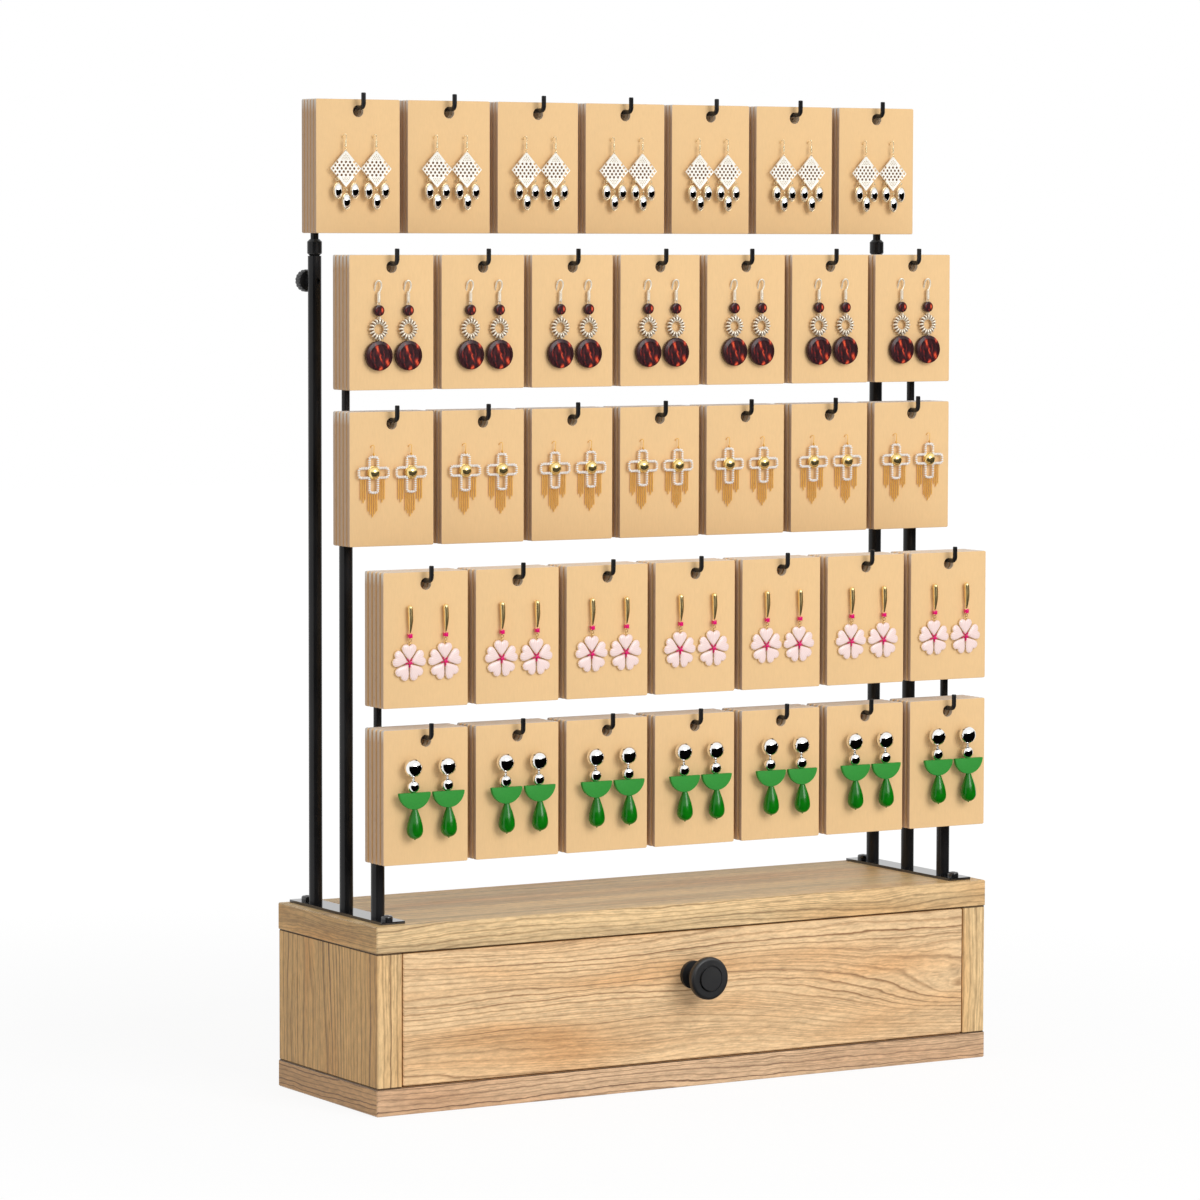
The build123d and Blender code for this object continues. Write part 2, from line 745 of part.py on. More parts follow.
with BuildPart() as cross:
    with BuildSketch(cross_plane):
        RectangleRounded(cross_width, cross_arm, cross_corner)
        with Locations((0, -cross_lower)):
            RectangleRounded(cross_arm, cross_height, cross_corner)
        RectangleRounded(cross_inner_width, cross_inner_arm, cross_inner_corner, mode=Mode.SUBTRACT)
        with Locations((0, -cross_lower)):
            RectangleRounded(cross_inner_arm, cross_inner_height, cross_inner_corner, mode=Mode.SUBTRACT)
    extrude(amount=cross_wall)
    add(dome.part)
    add(ear_post(cross_drop, cross_standoff))
save_pairs(cross, 3, cross_pitch, "row_3_crosses")

fringe_side_top = cross_drop + cross_arm / 2 + fringe_gap
fringe_middle_top = cross_drop + cross_lower + cross_height / 2 + fringe_gap
fringe_plane = Plane((0, -cross_standoff + fringe_thickness / 2, 0), x_dir=(1, 0, 0), z_dir=(0, -1, 0))
with BuildPart() as fringe:
    for x, width, top_drop, bottom_drop in (
        (-fringe_side_offset, fringe_side_width, fringe_side_top, fringe_side_drop),
        (fringe_side_offset, fringe_side_width, fringe_side_top, fringe_side_drop),
        (0, fringe_middle_width, fringe_middle_top, fringe_middle_drop),
    ):
        with BuildSketch(fringe_plane):
            Polygon(
                (x - width / 2, -top_drop),
                (x - width / 2, -bottom_drop + fringe_point),
                (x, -bottom_drop),
                (x + width / 2, -bottom_drop + fringe_point),
                (x + width / 2, -top_drop),
                align=None,
            )
        extrude(amount=fringe_thickness)
save_pairs(fringe, 3, cross_pitch, "row_3_fringes")

# Row 4: slender bar on a post, square gem and a flower of heart petals
flower_standoff = earring_gap + flower_thickness
slim_bar_middle = slim_bar_top_drop + slim_bar_length / 2
slim_bar_taper = math.degrees(math.atan((slim_bar_diameter - slim_bar_end_diameter) / slim_bar_length))
gem_top = slim_bar_top_drop + slim_bar_length + link_gap
flower_top = flower_drop - petal_reach - petal_lobe_radius - link_gap
petal_cut = petal_reach - petal_lobe_radius

with BuildPart() as slim_bar:
    with BuildSketch(Plane((0, -flower_standoff, -slim_bar_middle))):
        RegularPolygon(slim_bar_diameter / 2, side_count=slim_bar_facets)
    extrude(amount=slim_bar_length / 2, both=True, taper=slim_bar_taper)
    add(ear_post(slim_bar_top_drop + slim_bar_diameter, flower_standoff))
    add(link(0, flower_standoff, gem_top + gem_size + link_gap, flower_top))
save_pairs(slim_bar, 4, flower_pitch, "row_4_slim_bars")

with BuildPart() as flower:
    with BuildSketch(Plane((0, -earring_gap, -flower_drop), x_dir=(1, 0, 0), z_dir=(0, -1, 0))):
        with PolarLocations(0, flower_petals, start_angle=90):
            with Locations((petal_reach, -petal_spread), (petal_reach, petal_spread)):
                Circle(petal_lobe_radius)
            Polygon(
                (petal_root, 0),
                (petal_cut, -petal_spread - petal_lobe_radius),
                (petal_reach, -petal_spread),
                (petal_reach, petal_spread),
                (petal_cut, petal_spread + petal_lobe_radius),
                align=None,
            )
        Circle(flower_heart_radius)
    extrude(amount=flower_thickness)
    with BuildSketch(Plane((0, -flower_standoff, -flower_drop), x_dir=(1, 0, 0), z_dir=(0, -1, 0))):
        Circle(flower_heart_radius)
    extrude(amount=flower_heart_rise)
    with Locations((0, -flower_standoff, -gem_top - gem_size / 2)):
        Box(gem_size, gem_depth, gem_size)
save_pairs(flower, 4, flower_pitch, "row_4_flowers")

# Row 5: two mirror balls on a post, a half disc and a tear drop
ball_standoff = earring_gap + ball_large_diameter / 2
half_disc_top = ball_medium_drop + ball_medium_diameter / 2 + link_gap
half_disc_middle = half_disc_top + half_disc_depth - half_disc_radius
tear_top = half_disc_top + half_disc_depth + link_gap
tear_radius = tear_diameter / 2
tear_belly = tear_top + tear_length - tear_radius

with BuildPart() as balls:
    with Locations((0, -ball_standoff, -ball_large_drop)):
        Sphere(ball_large_diameter / 2)
    with Locations((0, -ball_standoff, -ball_medium_drop)):
        Sphere(ball_medium_diameter / 2)
    add(link(0, ball_standoff, ball_large_drop, ball_medium_drop))
    add(ear_post(ball_large_drop, ball_standoff))
save_pairs(balls, 5, ball_pitch, "row_5_balls")

with BuildPart() as green_drops:
    with BuildSketch(Plane((0, -ball_standoff + half_disc_thickness / 2, 0), x_dir=(1, 0, 0), z_dir=(0, -1, 0))):
        with Locations((0, -half_disc_middle)):
            Circle(half_disc_radius)
        with Locations((0, -half_disc_top + half_disc_radius)):
            Rectangle(2 * half_disc_radius + overrun, 2 * half_disc_radius, mode=Mode.SUBTRACT)
    extrude(amount=half_disc_thickness)
    with BuildSketch(Plane((0, -ball_standoff, -tear_belly), x_dir=(1, 0, 0), z_dir=(0, -1, 0))):
        with BuildLine():
            RadiusArc((0, -tear_radius), (tear_radius, 0), -tear_radius)
            Spline(
                (tear_radius, 0),
                (link_diameter / 2, tear_length - tear_radius),
                tangents=((0, 1), (-link_diameter, tear_length / 2)),
            )
            Line((link_diameter / 2, tear_length - tear_radius), (0, tear_length - tear_radius))
            Line((0, tear_length - tear_radius), (0, -tear_radius))
        make_face()
    revolve(axis=Axis((0, -ball_standoff, -tear_belly), (0, 0, 1)))
save_pairs(green_drops, 5, ball_pitch, "row_5_drops")
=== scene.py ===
import json
import math

import bpy
from mathutils import Matrix, Vector

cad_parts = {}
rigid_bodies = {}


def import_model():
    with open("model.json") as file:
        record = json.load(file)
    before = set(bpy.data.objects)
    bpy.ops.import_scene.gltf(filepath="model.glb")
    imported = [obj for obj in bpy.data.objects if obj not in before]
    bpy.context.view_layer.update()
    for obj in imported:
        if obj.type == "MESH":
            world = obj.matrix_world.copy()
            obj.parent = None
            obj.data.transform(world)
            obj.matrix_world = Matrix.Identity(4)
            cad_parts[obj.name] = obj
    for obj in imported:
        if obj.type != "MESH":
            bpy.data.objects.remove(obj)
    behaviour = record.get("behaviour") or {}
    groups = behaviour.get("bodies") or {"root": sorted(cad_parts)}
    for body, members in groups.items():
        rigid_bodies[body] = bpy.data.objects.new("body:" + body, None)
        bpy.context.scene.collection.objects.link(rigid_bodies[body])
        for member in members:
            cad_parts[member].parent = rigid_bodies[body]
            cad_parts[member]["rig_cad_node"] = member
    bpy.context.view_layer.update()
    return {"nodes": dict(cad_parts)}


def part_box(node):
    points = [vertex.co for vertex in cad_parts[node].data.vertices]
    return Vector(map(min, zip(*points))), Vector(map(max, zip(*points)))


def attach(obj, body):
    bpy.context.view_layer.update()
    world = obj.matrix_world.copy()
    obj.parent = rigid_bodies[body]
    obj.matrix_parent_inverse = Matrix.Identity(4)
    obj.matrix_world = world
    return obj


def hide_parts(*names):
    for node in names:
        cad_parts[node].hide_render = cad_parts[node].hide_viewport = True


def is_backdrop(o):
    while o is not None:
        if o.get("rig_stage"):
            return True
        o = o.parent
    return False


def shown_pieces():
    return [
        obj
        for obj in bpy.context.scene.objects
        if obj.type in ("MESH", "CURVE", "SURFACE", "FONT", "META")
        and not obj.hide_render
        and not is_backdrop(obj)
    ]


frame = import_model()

mm = 0.001
quarter = math.radians(90)
toFront = (quarter, 0, 0)
sideways = (0, quarter, 0)
white = (1, 1, 1, 1)
black = (0, 0, 0, 1)
nodes = frame["nodes"]
print("stage: frame loaded,", len(nodes), "nodes")


# small tools of the bench
def only(obj):
    bpy.ops.object.select_all(action="DESELECT")
    obj.select_set(True)
    bpy.context.view_layer.objects.active = obj


def settle(obj):  # place, turn and scale go into the mesh
    only(obj)
    bpy.ops.object.transform_apply(location=True, rotation=True, scale=True)
    return obj


def applyModifiers(obj):
    only(obj)
    for modifier in list(obj.modifiers):
        bpy.ops.object.modifier_apply(modifier=modifier.name)
    return obj


def gather(parts):
    bpy.ops.object.select_all(action="DESELECT")
    for part in parts:
        part.select_set(True)
    bpy.context.view_layer.objects.active = parts[0]
    if len(parts) > 1:
        bpy.ops.object.join()
    return settle(bpy.context.view_layer.objects.active)


def openEdit():
    bpy.ops.object.mode_set(mode="EDIT")


def closeEdit():
    bpy.ops.object.mode_set(mode="OBJECT")


def dropPick(obj, kind):
    only(obj)
    openEdit()
    bpy.ops.mesh.select_mode(type=kind)
    bpy.ops.mesh.select_all(action="DESELECT")
    closeEdit()


def pickFaces(obj, test):  # leaves edit mode open, with the faces picked that pass the test
    dropPick(obj, "FACE")
    for face in obj.data.polygons:
        face.select = test(face)
    openEdit()


def pickAll(obj):
    only(obj)
    openEdit()
    bpy.ops.mesh.select_all(action="SELECT")


def roundEdges(obj, test, width, segments):  # on the edges whose two ends pass the test
    dropPick(obj, "EDGE")
    points = obj.data.vertices
    for edge in obj.data.edges:
        edge.select = test(points[edge.vertices[0]].co, points[edge.vertices[1]].co)
    openEdit()
    bpy.ops.mesh.bevel(offset=width * mm, segments=segments, affect="EDGES")
    closeEdit()


def acrossDepth(a, b):  # edges that lie in a plane parallel to the front
    return abs(a.y - b.y) < 0.01 * mm


def recalculate(obj):
    pickAll(obj)
    bpy.ops.mesh.remove_doubles(threshold=0.000002)
    bpy.ops.mesh.normals_make_consistent(inside=False)
    closeEdit()


def sliceOff(obj, place, outward):  # cuts off what lies past the plane and closes the cut
    pickAll(obj)
    bpy.ops.mesh.bisect(plane_co=place, plane_no=outward, use_fill=True, clear_outer=True)
    closeEdit()


def spinCopies(obj, count, centre):  # copies all round an axis that runs front to back
    pickAll(obj)
    bpy.ops.mesh.spin(steps=count - 1, dupli=True, angle=2 * math.pi * (count - 1) / count, center=centre,
                      axis=(0, 1, 0))
    closeEdit()


def carve(obj, cutter):
    cut = obj.modifiers.new("carve", "BOOLEAN")
    cut.operation = "DIFFERENCE"
    cut.object = cutter
    applyModifiers(obj)
    bpy.data.objects.remove(cutter)


def pushForward(distance):
    bpy.ops.mesh.extrude_region_move(TRANSFORM_OT_translate={"value": (0, -distance * mm, 0)})


finishes = {}


def cover(obj, names, choose=lambda face: 0):
    obj.data.materials.clear()
    for name in names:
        obj.data.materials.append(finishes[name])
    for face in obj.data.polygons:
        face.material_index = choose(face)


def inMetres(size):
    return [side * mm for side in size]


def addBall(place, size, segments=16, rings=10, turn=(0, 0, 0)):
    bpy.ops.mesh.primitive_uv_sphere_add(segments=segments, ring_count=rings, radius=0.5, location=place,
                                         rotation=turn, scale=inMetres(size))
    return settle(bpy.context.object)


def addHoop(place, ring, wire, turn=toFront, stretch=(1, 1, 1), steps=(12, 6)):
    bpy.ops.mesh.primitive_torus_add(
        major_segments=steps[0], minor_segments=steps[1], major_radius=ring * mm, minor_radius=wire * mm,
        location=place, rotation=turn)
    bpy.context.object.scale = stretch
    return settle(bpy.context.object)


def addPin(place, width, length, sides=12):  # a round pin that points to the front
    bpy.ops.mesh.primitive_cylinder_add(
        vertices=sides, radius=width / 2 * mm, depth=length * mm, location=place, rotation=toFront)
    return settle(bpy.context.object)


def addBead(place, width):  # few faces, for what repeats by the hundred
    bpy.ops.mesh.primitive_ico_sphere_add(subdivisions=1, radius=0.5, location=place, scale=[width * mm] * 3)
    return settle(bpy.context.object)


def addBlock(place, size, turn=(0, 0, 0)):
    bpy.ops.mesh.primitive_cube_add(size=1, location=place, rotation=turn, scale=inMetres(size))
    return settle(bpy.context.object)


def addSheet(place, corners, width, height):  # a flat sheet with even corners that faces the front
    bpy.ops.mesh.primitive_circle_add(vertices=corners, radius=0.5, fill_type="NGON", location=place, rotation=toFront)
    bpy.context.object.scale = (width * mm, height * mm, 1)
    return settle(bpy.context.object)


def addWire(points, thickness, closed=False, smooth=True):
    bpy.ops.curve.primitive_nurbs_path_add()
    obj = bpy.context.object
    obj.location = (0, 0, 0)
    curve = obj.data
    curve.splines.clear()
    spline = curve.splines.new("NURBS" if smooth else "POLY")
    spline.points.add(len(points) - 1)
    for knot, point in zip(spline.points, points):
        knot.co = (*point, 1)
    spline.use_cyclic_u = closed
    if smooth:
        spline.order_u = 3
        spline.use_endpoint_u = not closed
    curve.resolution_u = 6
    curve.bevel_depth = thickness / 2 * mm
    curve.bevel_resolution = 2
    curve.use_fill_caps = not closed
    only(obj)
    bpy.ops.object.convert(target="MESH")
    return settle(bpy.context.object)


def reshape(obj, move):  # every point goes where the rule puts it
    for point in obj.data.vertices:
        point.co = move(point.co)
    return obj


def turned(obj, top, length, radiusAt, shiftAt=lambda share: 0.0):  # as on an upright lathe, a radius per height
    middleX, middleY, topZ = top

    def move(point):
        share = min(1.0, max(0.0, (topZ - point.z) / (length * mm)))
        away = Vector((point.x - middleX, point.y - middleY))
        if away.length > 1e-9:
            away = away.normalized() * (radiusAt(share) * mm)
        return Vector((middleX + away.x + shiftAt(share) * mm, middleY + away.y, point.z))

    return reshape(obj, move)


def flatUv(obj, centre, width):  # the piece's own map, seen from the front
    if not obj.data.uv_layers:
        obj.data.uv_layers.new(name="UVMap")
    layer = obj.data.uv_layers.active.data
    for loop in obj.data.loops:
        point = obj.data.vertices[loop.vertex_index].co
        layer[loop.index].uv = ((point.x - centre[0]) / width + 0.5, (point.z - centre[2]) / width + 0.5)


# nodes of the finishes
def put(tree, kind, inputs=None, **settings):
    made = tree.nodes.new(kind)
    for key, value in settings.items():
        setattr(made, key, value)
    for key, value in (inputs or {}).items():
        if isinstance(value, bpy.types.NodeSocket):
            tree.links.new(value, made.inputs[key])
        else:
            made.inputs[key].default_value = value
    return made


def calc(tree, how, first, second=0.0):
    return put(tree, "ShaderNodeMath", {0: first, 1: second}, operation=how).outputs[0]


def times(tree, first, second):
    return calc(tree, "MULTIPLY", first, second)


def vectorMath(tree, how, first, second=(0, 0, 0)):
    made = put(tree, "ShaderNodeVectorMath", {0: first, 1: second}, operation=how)
    return made.outputs["Value" if how == "LENGTH" else "Vector"]


def axes(tree, vector):
    return put(tree, "ShaderNodeSeparateXYZ", {0: vector}).outputs


def mapping(tree, vector, place=(0, 0, 0), turn=(0, 0, 0), scale=(1, 1, 1), kind="POINT"):
    inputs = {"Vector": vector, "Location": place, "Rotation": turn, "Scale": scale}
    return put(tree, "ShaderNodeMapping", inputs, vector_type=kind).outputs[0]


def mixColour(tree, share, first, second, how="MIX"):
    return put(tree, "ShaderNodeMix", {0: share, 6: first, 7: second}, data_type="RGBA", blend_type=how).outputs[2]


def tinted(tree, colour, tint, share=1.0):
    return mixColour(tree, share, colour, tint, "MULTIPLY")


def mixShader(tree, share, first, second):
    return put(tree, "ShaderNodeMixShader", {0: share, 1: first.outputs[0], 2: second.outputs[0]})


def between(tree, value, low, high, toLow=0.0, toHigh=1.0):
    return put(tree, "ShaderNodeMapRange", {0: value, 1: low, 2: high, 3: toLow, 4: toHigh}).outputs[0]


def cloud(tree, vector, scale=1.0, detail=2.0, roughness=0.5):
    return put(tree, "ShaderNodeTexNoise",
               {"Vector": vector, "Scale": scale, "Detail": detail, "Roughness": roughness}).outputs["Fac"]


def stretchedCloud(tree, vector, stretch, detail=2.0, roughness=0.5):
    return cloud(tree, vectorMath(tree, "MULTIPLY", vector, stretch), 1.0, detail, roughness)


def coordinates(tree, kind="Object"):
    return put(tree, "ShaderNodeTexCoord").outputs[kind]


def newGroup(name, inputs):  # takes numbers, colours and, for None, places
    group = bpy.data.node_groups.new(name, "ShaderNodeTree")
    for label, value in inputs.items():
        kind = "Vector" if value is None else "Float" if isinstance(value, float) else "Color"
        socket = group.interface.new_socket(name=label, in_out="INPUT", socket_type="NodeSocket" + kind)
        if value is not None:
            socket.default_value = value
    return group, put(group, "NodeGroupInput").outputs


def closeGroup(group, **given):
    for label, kind in (("Color", "Color"), ("Roughness", "Float"), ("Height", "Float")):
        group.interface.new_socket(name=label, in_out="OUTPUT", socket_type="NodeSocket" + kind)
    put(group, "NodeGroupOutput", given)
    return group


def newFinish(name, **constants):
    finishes[name] = bpy.data.materials.new(name)
    finishes[name].use_nodes = True
    tree = finishes[name].node_tree
    shader = tree.nodes["Principled BSDF"]
    for key, value in constants.items():
        shader.inputs[key].default_value = value
    return tree, shader


def useGroup(tree, group, tones, **inputs):  # the tones that the group knows go in under their own names
    for key, value in tones.items():
        socket = group.interface.items_tree.get(key)
        if socket:
            inputs[key] = (*value, 1) if socket.socket_type == "NodeSocketColor" else value
    return put(tree, "ShaderNodeGroup", inputs, node_tree=group).outputs


def dress(tree, shader, colour, rough, height, relief):  # relief is the bump's strength and depth
    tree.links.new(colour, shader.inputs["Base Color"])
    tree.links.new(rough, shader.inputs["Roughness"])
    if relief:
        bump = put(tree, "ShaderNodeBump", {"Height": height, "Strength": relief[0], "Distance": relief[1] * mm})
        tree.links.new(bump.outputs["Normal"], shader.inputs["Normal"])


# camera at the photograph's place
cameraSetup = {"place": (-1.46023, -2.41087, 0.47787), "yaw": 30.7514, "tilt": 4.2266, "roll": 0.1374, "lens": 149.543,
               "sensor": 36, "reach": 60}


def makeCamera():
    yaw, tilt, roll = (math.radians(cameraSetup[key]) for key in ("yaw", "tilt", "roll"))
    level = Vector((math.sin(yaw), math.cos(yaw), 0))
    right = Vector((math.cos(yaw), -math.sin(yaw), 0))
    up = Vector((0, 0, 1))
    ahead = level * math.cos(tilt) - up * math.sin(tilt)
    top = up * math.cos(tilt) + level * math.sin(tilt)
    rolledRight = right * math.cos(roll) + top * math.sin(roll)
    rolledTop = top * math.cos(roll) - right * math.sin(roll)
    turn = Matrix((rolledRight, rolledTop, -ahead)).transposed()
    bpy.ops.object.camera_add(location=cameraSetup["place"], rotation=turn.to_euler())
    camera = bpy.context.object
    camera.data.sensor_width = cameraSetup["sensor"]
    camera.data.lens = cameraSetup["lens"]
    camera.data.clip_end = cameraSetup["reach"]
    bpy.context.scene.camera = camera


makeCamera()
bpy.context.scene.view_settings.view_transform = "Standard"
print("stage: camera")

# white studio: sky, floor, key light and a dark cloth that only reflections see
studio = {"sky": 0.52, "floorTone": (0.9, 0.9, 0.9, 1), "floorSize": 12.0, "floorDrop": 0.0003, "floorGlow": 1.04,
          "shadowShare": 0.14, "shadowReach": (0.35, 1.2), "keyPlace": (0.45, -2.85, 1.5), "keyAim": (0, 0, 0.28),
          "keySize": 1.7, "keyPower": 51.0}
clothSetup = {"from": -152.0, "to": 5.0, "near": 0.07, "far": 2.0, "top": 0.80, "lift": 0.012, "weave": (24, 12),
              "tone": (0.002, 0.002, 0.002, 1)}


def emptied(owner):
    owner.use_nodes = True
    owner.node_tree.nodes.clear()
    return owner.node_tree


def makeSky():
    world = bpy.data.worlds.new("studioSky")
    bpy.context.scene.world = world
    tree = emptied(world)
    soft = put(tree, "ShaderNodeBackground", {"Color": white, "Strength": studio["sky"]})
    bright = put(tree, "ShaderNodeBackground", {"Color": white, "Strength": 1.0})
    path = put(tree, "ShaderNodeLightPath").outputs
    direct = calc(tree, "MAXIMUM", path["Is Camera Ray"], path["Is Glossy Ray"])
    seen = calc(tree, "MAXIMUM", direct, path["Is Transmission Ray"])
    put(tree, "ShaderNodeOutputWorld", {"Surface": mixShader(tree, seen, soft, bright).outputs[0]})


def makeFloor():
    bpy.ops.mesh.primitive_plane_add(size=studio["floorSize"], location=(0, 0, -studio["floorDrop"]))
    floor = settle(bpy.context.object)
    floor.name = "studioFloor"
    finish = bpy.data.materials.new("paleFloor")
    tree = emptied(finish)
    matte = put(tree, "ShaderNodeBsdfDiffuse", {"Color": studio["floorTone"]})
    glow = put(tree, "ShaderNodeEmission", {"Color": white, "Strength": 1.0})
    lit = put(tree, "ShaderNodeEmission", {"Color": white, "Strength": studio["floorGlow"]})
    away = vectorMath(tree, "LENGTH", coordinates(tree))
    shadow = between(tree, away, *studio["shadowReach"], studio["shadowShare"], 0.0)
    path = put(tree, "ShaderNodeLightPath").outputs
    mirrored = calc(tree, "MAXIMUM", path["Is Glossy Ray"], path["Is Transmission Ray"])
    bounced = mixShader(tree, mirrored, matte, glow)
    shown = mixShader(tree, path["Is Camera Ray"], bounced, mixShader(tree, shadow, lit, matte))
    put(tree, "ShaderNodeOutputMaterial", {"Surface": shown.outputs[0]})
    floor.data.materials.append(finish)
    floor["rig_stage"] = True


def makeKeyLight():
    aim = Vector(studio["keyAim"]) - Vector(studio["keyPlace"])
    turn = aim.to_track_quat("-Z", "Y").to_euler()
    bpy.ops.object.light_add(type="AREA", location=studio["keyPlace"], rotation=turn)
    key = bpy.context.object
    key.data.shape = "SQUARE"
    key.data.size = studio["keySize"]
    key.data.energy = studio["keyPower"]


def makeDarkCloth():
    columns, rows = clothSetup["weave"]
    bpy.ops.mesh.primitive_grid_add(x_subdivisions=columns, y_subdivisions=rows, size=1, location=(0, 0, 0))
    cloth = settle(bpy.context.object)

    def drape(point):  # a sector of the floor that turns up into a curved wall
        turn = math.radians(clothSetup["from"] + (point.x + 0.5) * (clothSetup["to"] - clothSetup["from"]))
        reach = clothSetup["near"] + min(1.0, 2 * point.y + 1) * (clothSetup["far"] - clothSetup["near"])
        rise = max(0.0, 2 * point.y) * clothSetup["top"]
        return Vector((reach * math.cos(turn), reach * math.sin(turn), clothSetup["lift"] + rise))

    reshape(cloth, drape)
    cloth.name = "darkCloth"
    matte = {"Base Color": clothSetup["tone"], "Roughness": 1.0, "Specular IOR Level": 0.0}
    newFinish("flagCloth", **matte)
    cover(cloth, ["flagCloth"])
    cloth.visible_camera = cloth.visible_diffuse = cloth.visible_shadow = cloth.visible_transmission = False
    cloth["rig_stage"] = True


makeSky()
makeFloor()
makeKeyLight()
makeDarkCloth()
print("stage: studio")

# finishes
oakSpread = {  # each cloud's stretch along and across the grain, its detail and its roughness
    "sway": (4, 20, 2, 0.5), "ripple": (14, 60, 2, 0.5), "tremble": (90, 170, 2, 0.6), "fade": (4, 26, 2, 0.5),
    "hair": (11, 110, 2, 0.5), "pores": (55, 900, 2, 0.6), "fibre": (140, 540, 3, 0.7), "streak": (3, 80, 3, 0.6),
    "tint": (5, 34, 2, 0.5)}
oakRing = {"eyeStretch": (8.5, 50, 0), "late": (0.60, 0.86, 0.985), "hair": (0.50, 0.84, 1.0), "hairRings": 2.63,
           "hairShare": 0.45, "warmth": 0.8, "poreShare": 0.25}


def makeOakGroup():
    group, given = newGroup("oakGrain", {
        "vector": None, "rings": 300.0, "sway": 0.006, "eye": None, "eyeRise": 0.0, "light": white, "warm": white,
        "dark": black, "line": 0.6, "streak": 0.1})
    place = given["vector"]

    def spread(name, low, high, toLow=0.0, toHigh=1.0):  # a cloud drawn out along the grain
        return between(group, drawn(name), low, high, toLow, toHigh)

    def drawn(name):
        along, across, detail, roughness = oakSpread[name]
        return stretchedCloud(group, place, (along, across, across), detail, roughness)

    def ringLine(value, stops):  # dark to light to dark over each ring
        ramp = put(group, "ShaderNodeValToRGB", {0: calc(group, "FRACT", value)})
        marks = ramp.color_ramp.elements
        marks[0].position, marks[0].color = stops[0], black
        marks[1].position, marks[1].color = stops[1], white
        marks.new(stops[2]).color = black
        return ramp.outputs[0]

    away = vectorMath(group, "SUBTRACT", place, given["eye"])
    away = vectorMath(group, "LENGTH", vectorMath(group, "MULTIPLY", away, oakRing["eyeStretch"]))
    swell = calc(group, "EXPONENT", times(group, times(group, away, away), -1.0))
    parts = axes(group, place)
    depth = calc(group, "ADD", parts["Y"], parts["Z"])
    for shift in (times(group, spread("sway", 0.25, 0.75, -1.0, 1.0), given["sway"]),
                  spread("ripple", 0.25, 0.75, -0.0012, 0.0012), spread("tremble", 0.25, 0.75, -0.0004, 0.0004),
                  times(group, swell, given["eyeRise"])):
        depth = calc(group, "ADD", depth, shift)
    phase = times(group, depth, given["rings"])
    ringNumber = calc(group, "FLOOR", phase)
    own = put(group, "ShaderNodeTexWhiteNoise", {"W": ringNumber}, noise_dimensions="1D").outputs["Value"]
    ringShare = times(group, spread("fade", 0.36, 0.58, 0.45, 1.0), between(group, own, 0.0, 1.0, 0.40, 1.0))
    lateWood = times(group, ringLine(phase, oakRing["late"]), ringShare)
    hairLine = ringLine(times(group, phase, oakRing["hairRings"]), oakRing["hair"])
    hair = times(group, hairLine, spread("hair", 0.42, 0.60))
    pores = spread("pores", 0.60, 0.68)
    fibre = drawn("fibre")
    lines = calc(group, "MAXIMUM", lateWood, times(group, hair, oakRing["hairShare"]))
    lines = times(group, lines, given["line"])
    warmth = calc(group, "MAXIMUM", spread("tint", 0.46, 0.68), times(group, lateWood, oakRing["warmth"]))
    colour = mixColour(group, warmth, given["light"], given["warm"])
    colour = mixColour(group, lines, colour, given["dark"])
    colour = tinted(group, colour, between(group, fibre, 0.30, 0.70, 0.80, 1.16))
    colour = tinted(group, colour, spread("streak", 0.32, 0.62, calc(group, "SUBTRACT", 1.0, given["streak"]), 1.04))
    colour = mixColour(group, times(group, pores, oakRing["poreShare"]), colour, given["dark"])
    worn = calc(group, "ADD", times(group, pores, -0.7), times(group, fibre, 0.35))
    return closeGroup(group, Color=colour, Roughness=between(group, pores, 0.0, 1.0, 0.46, 0.62),
                      Height=calc(group, "SUBTRACT", worn, times(group, lines, 0.5)))


def makePaperGroup():
    group, given = newGroup("paperFibre", {"tone": white, "fleck": (0.5, 0.5, 0.5, 1), "share": 0.25})
    place = coordinates(group)
    pulp = cloud(group, place, 160.0, 4, 0.6)
    fibres = stretchedCloud(group, place, (1600, 900, 260))
    flecks = between(group, stretchedCloud(group, place, (700, 700, 240), 1), 0.66, 0.74)
    colour = tinted(group, given["tone"], between(group, pulp, 0.25, 0.75, 0.985, 1.015))
    colour = tinted(group, colour, between(group, fibres, 0.25, 0.75, 0.975, 1.02))
    colour = mixColour(group, times(group, flecks, given["share"]), colour, given["fleck"])
    return closeGroup(group, Color=colour, Roughness=between(group, pulp, 0.3, 0.7, 0.72, 0.88),
                      Height=calc(group, "ADD", fibres, pulp))


skinInputs = {"tone": white, "deep": white, "scale": 420.0, "detail": 3.0, "from": 0.35, "to": 0.7, "share": 1.0,
              "grain": 2600.0, "grainDetail": 2.0, "least": 0.05, "most": 0.15}


def makeSkinGroup():  # two tones, a roughness that wanders with them and a fine grain
    group, given = newGroup("fineSkin", skinInputs)
    place = coordinates(group)
    breath = cloud(group, place, given["scale"], given["detail"])
    share = between(group, breath, given["from"], given["to"], 0.0, given["share"])
    return closeGroup(group, Color=mixColour(group, share, given["tone"], given["deep"]),
                      Roughness=between(group, breath, 0.3, 0.7, given["least"], given["most"]),
                      Height=cloud(group, place, given["grain"], given["grainDetail"]))


oakGroup, paperGroup, skinGroup = makeOakGroup(), makePaperGroup(), makeSkinGroup()

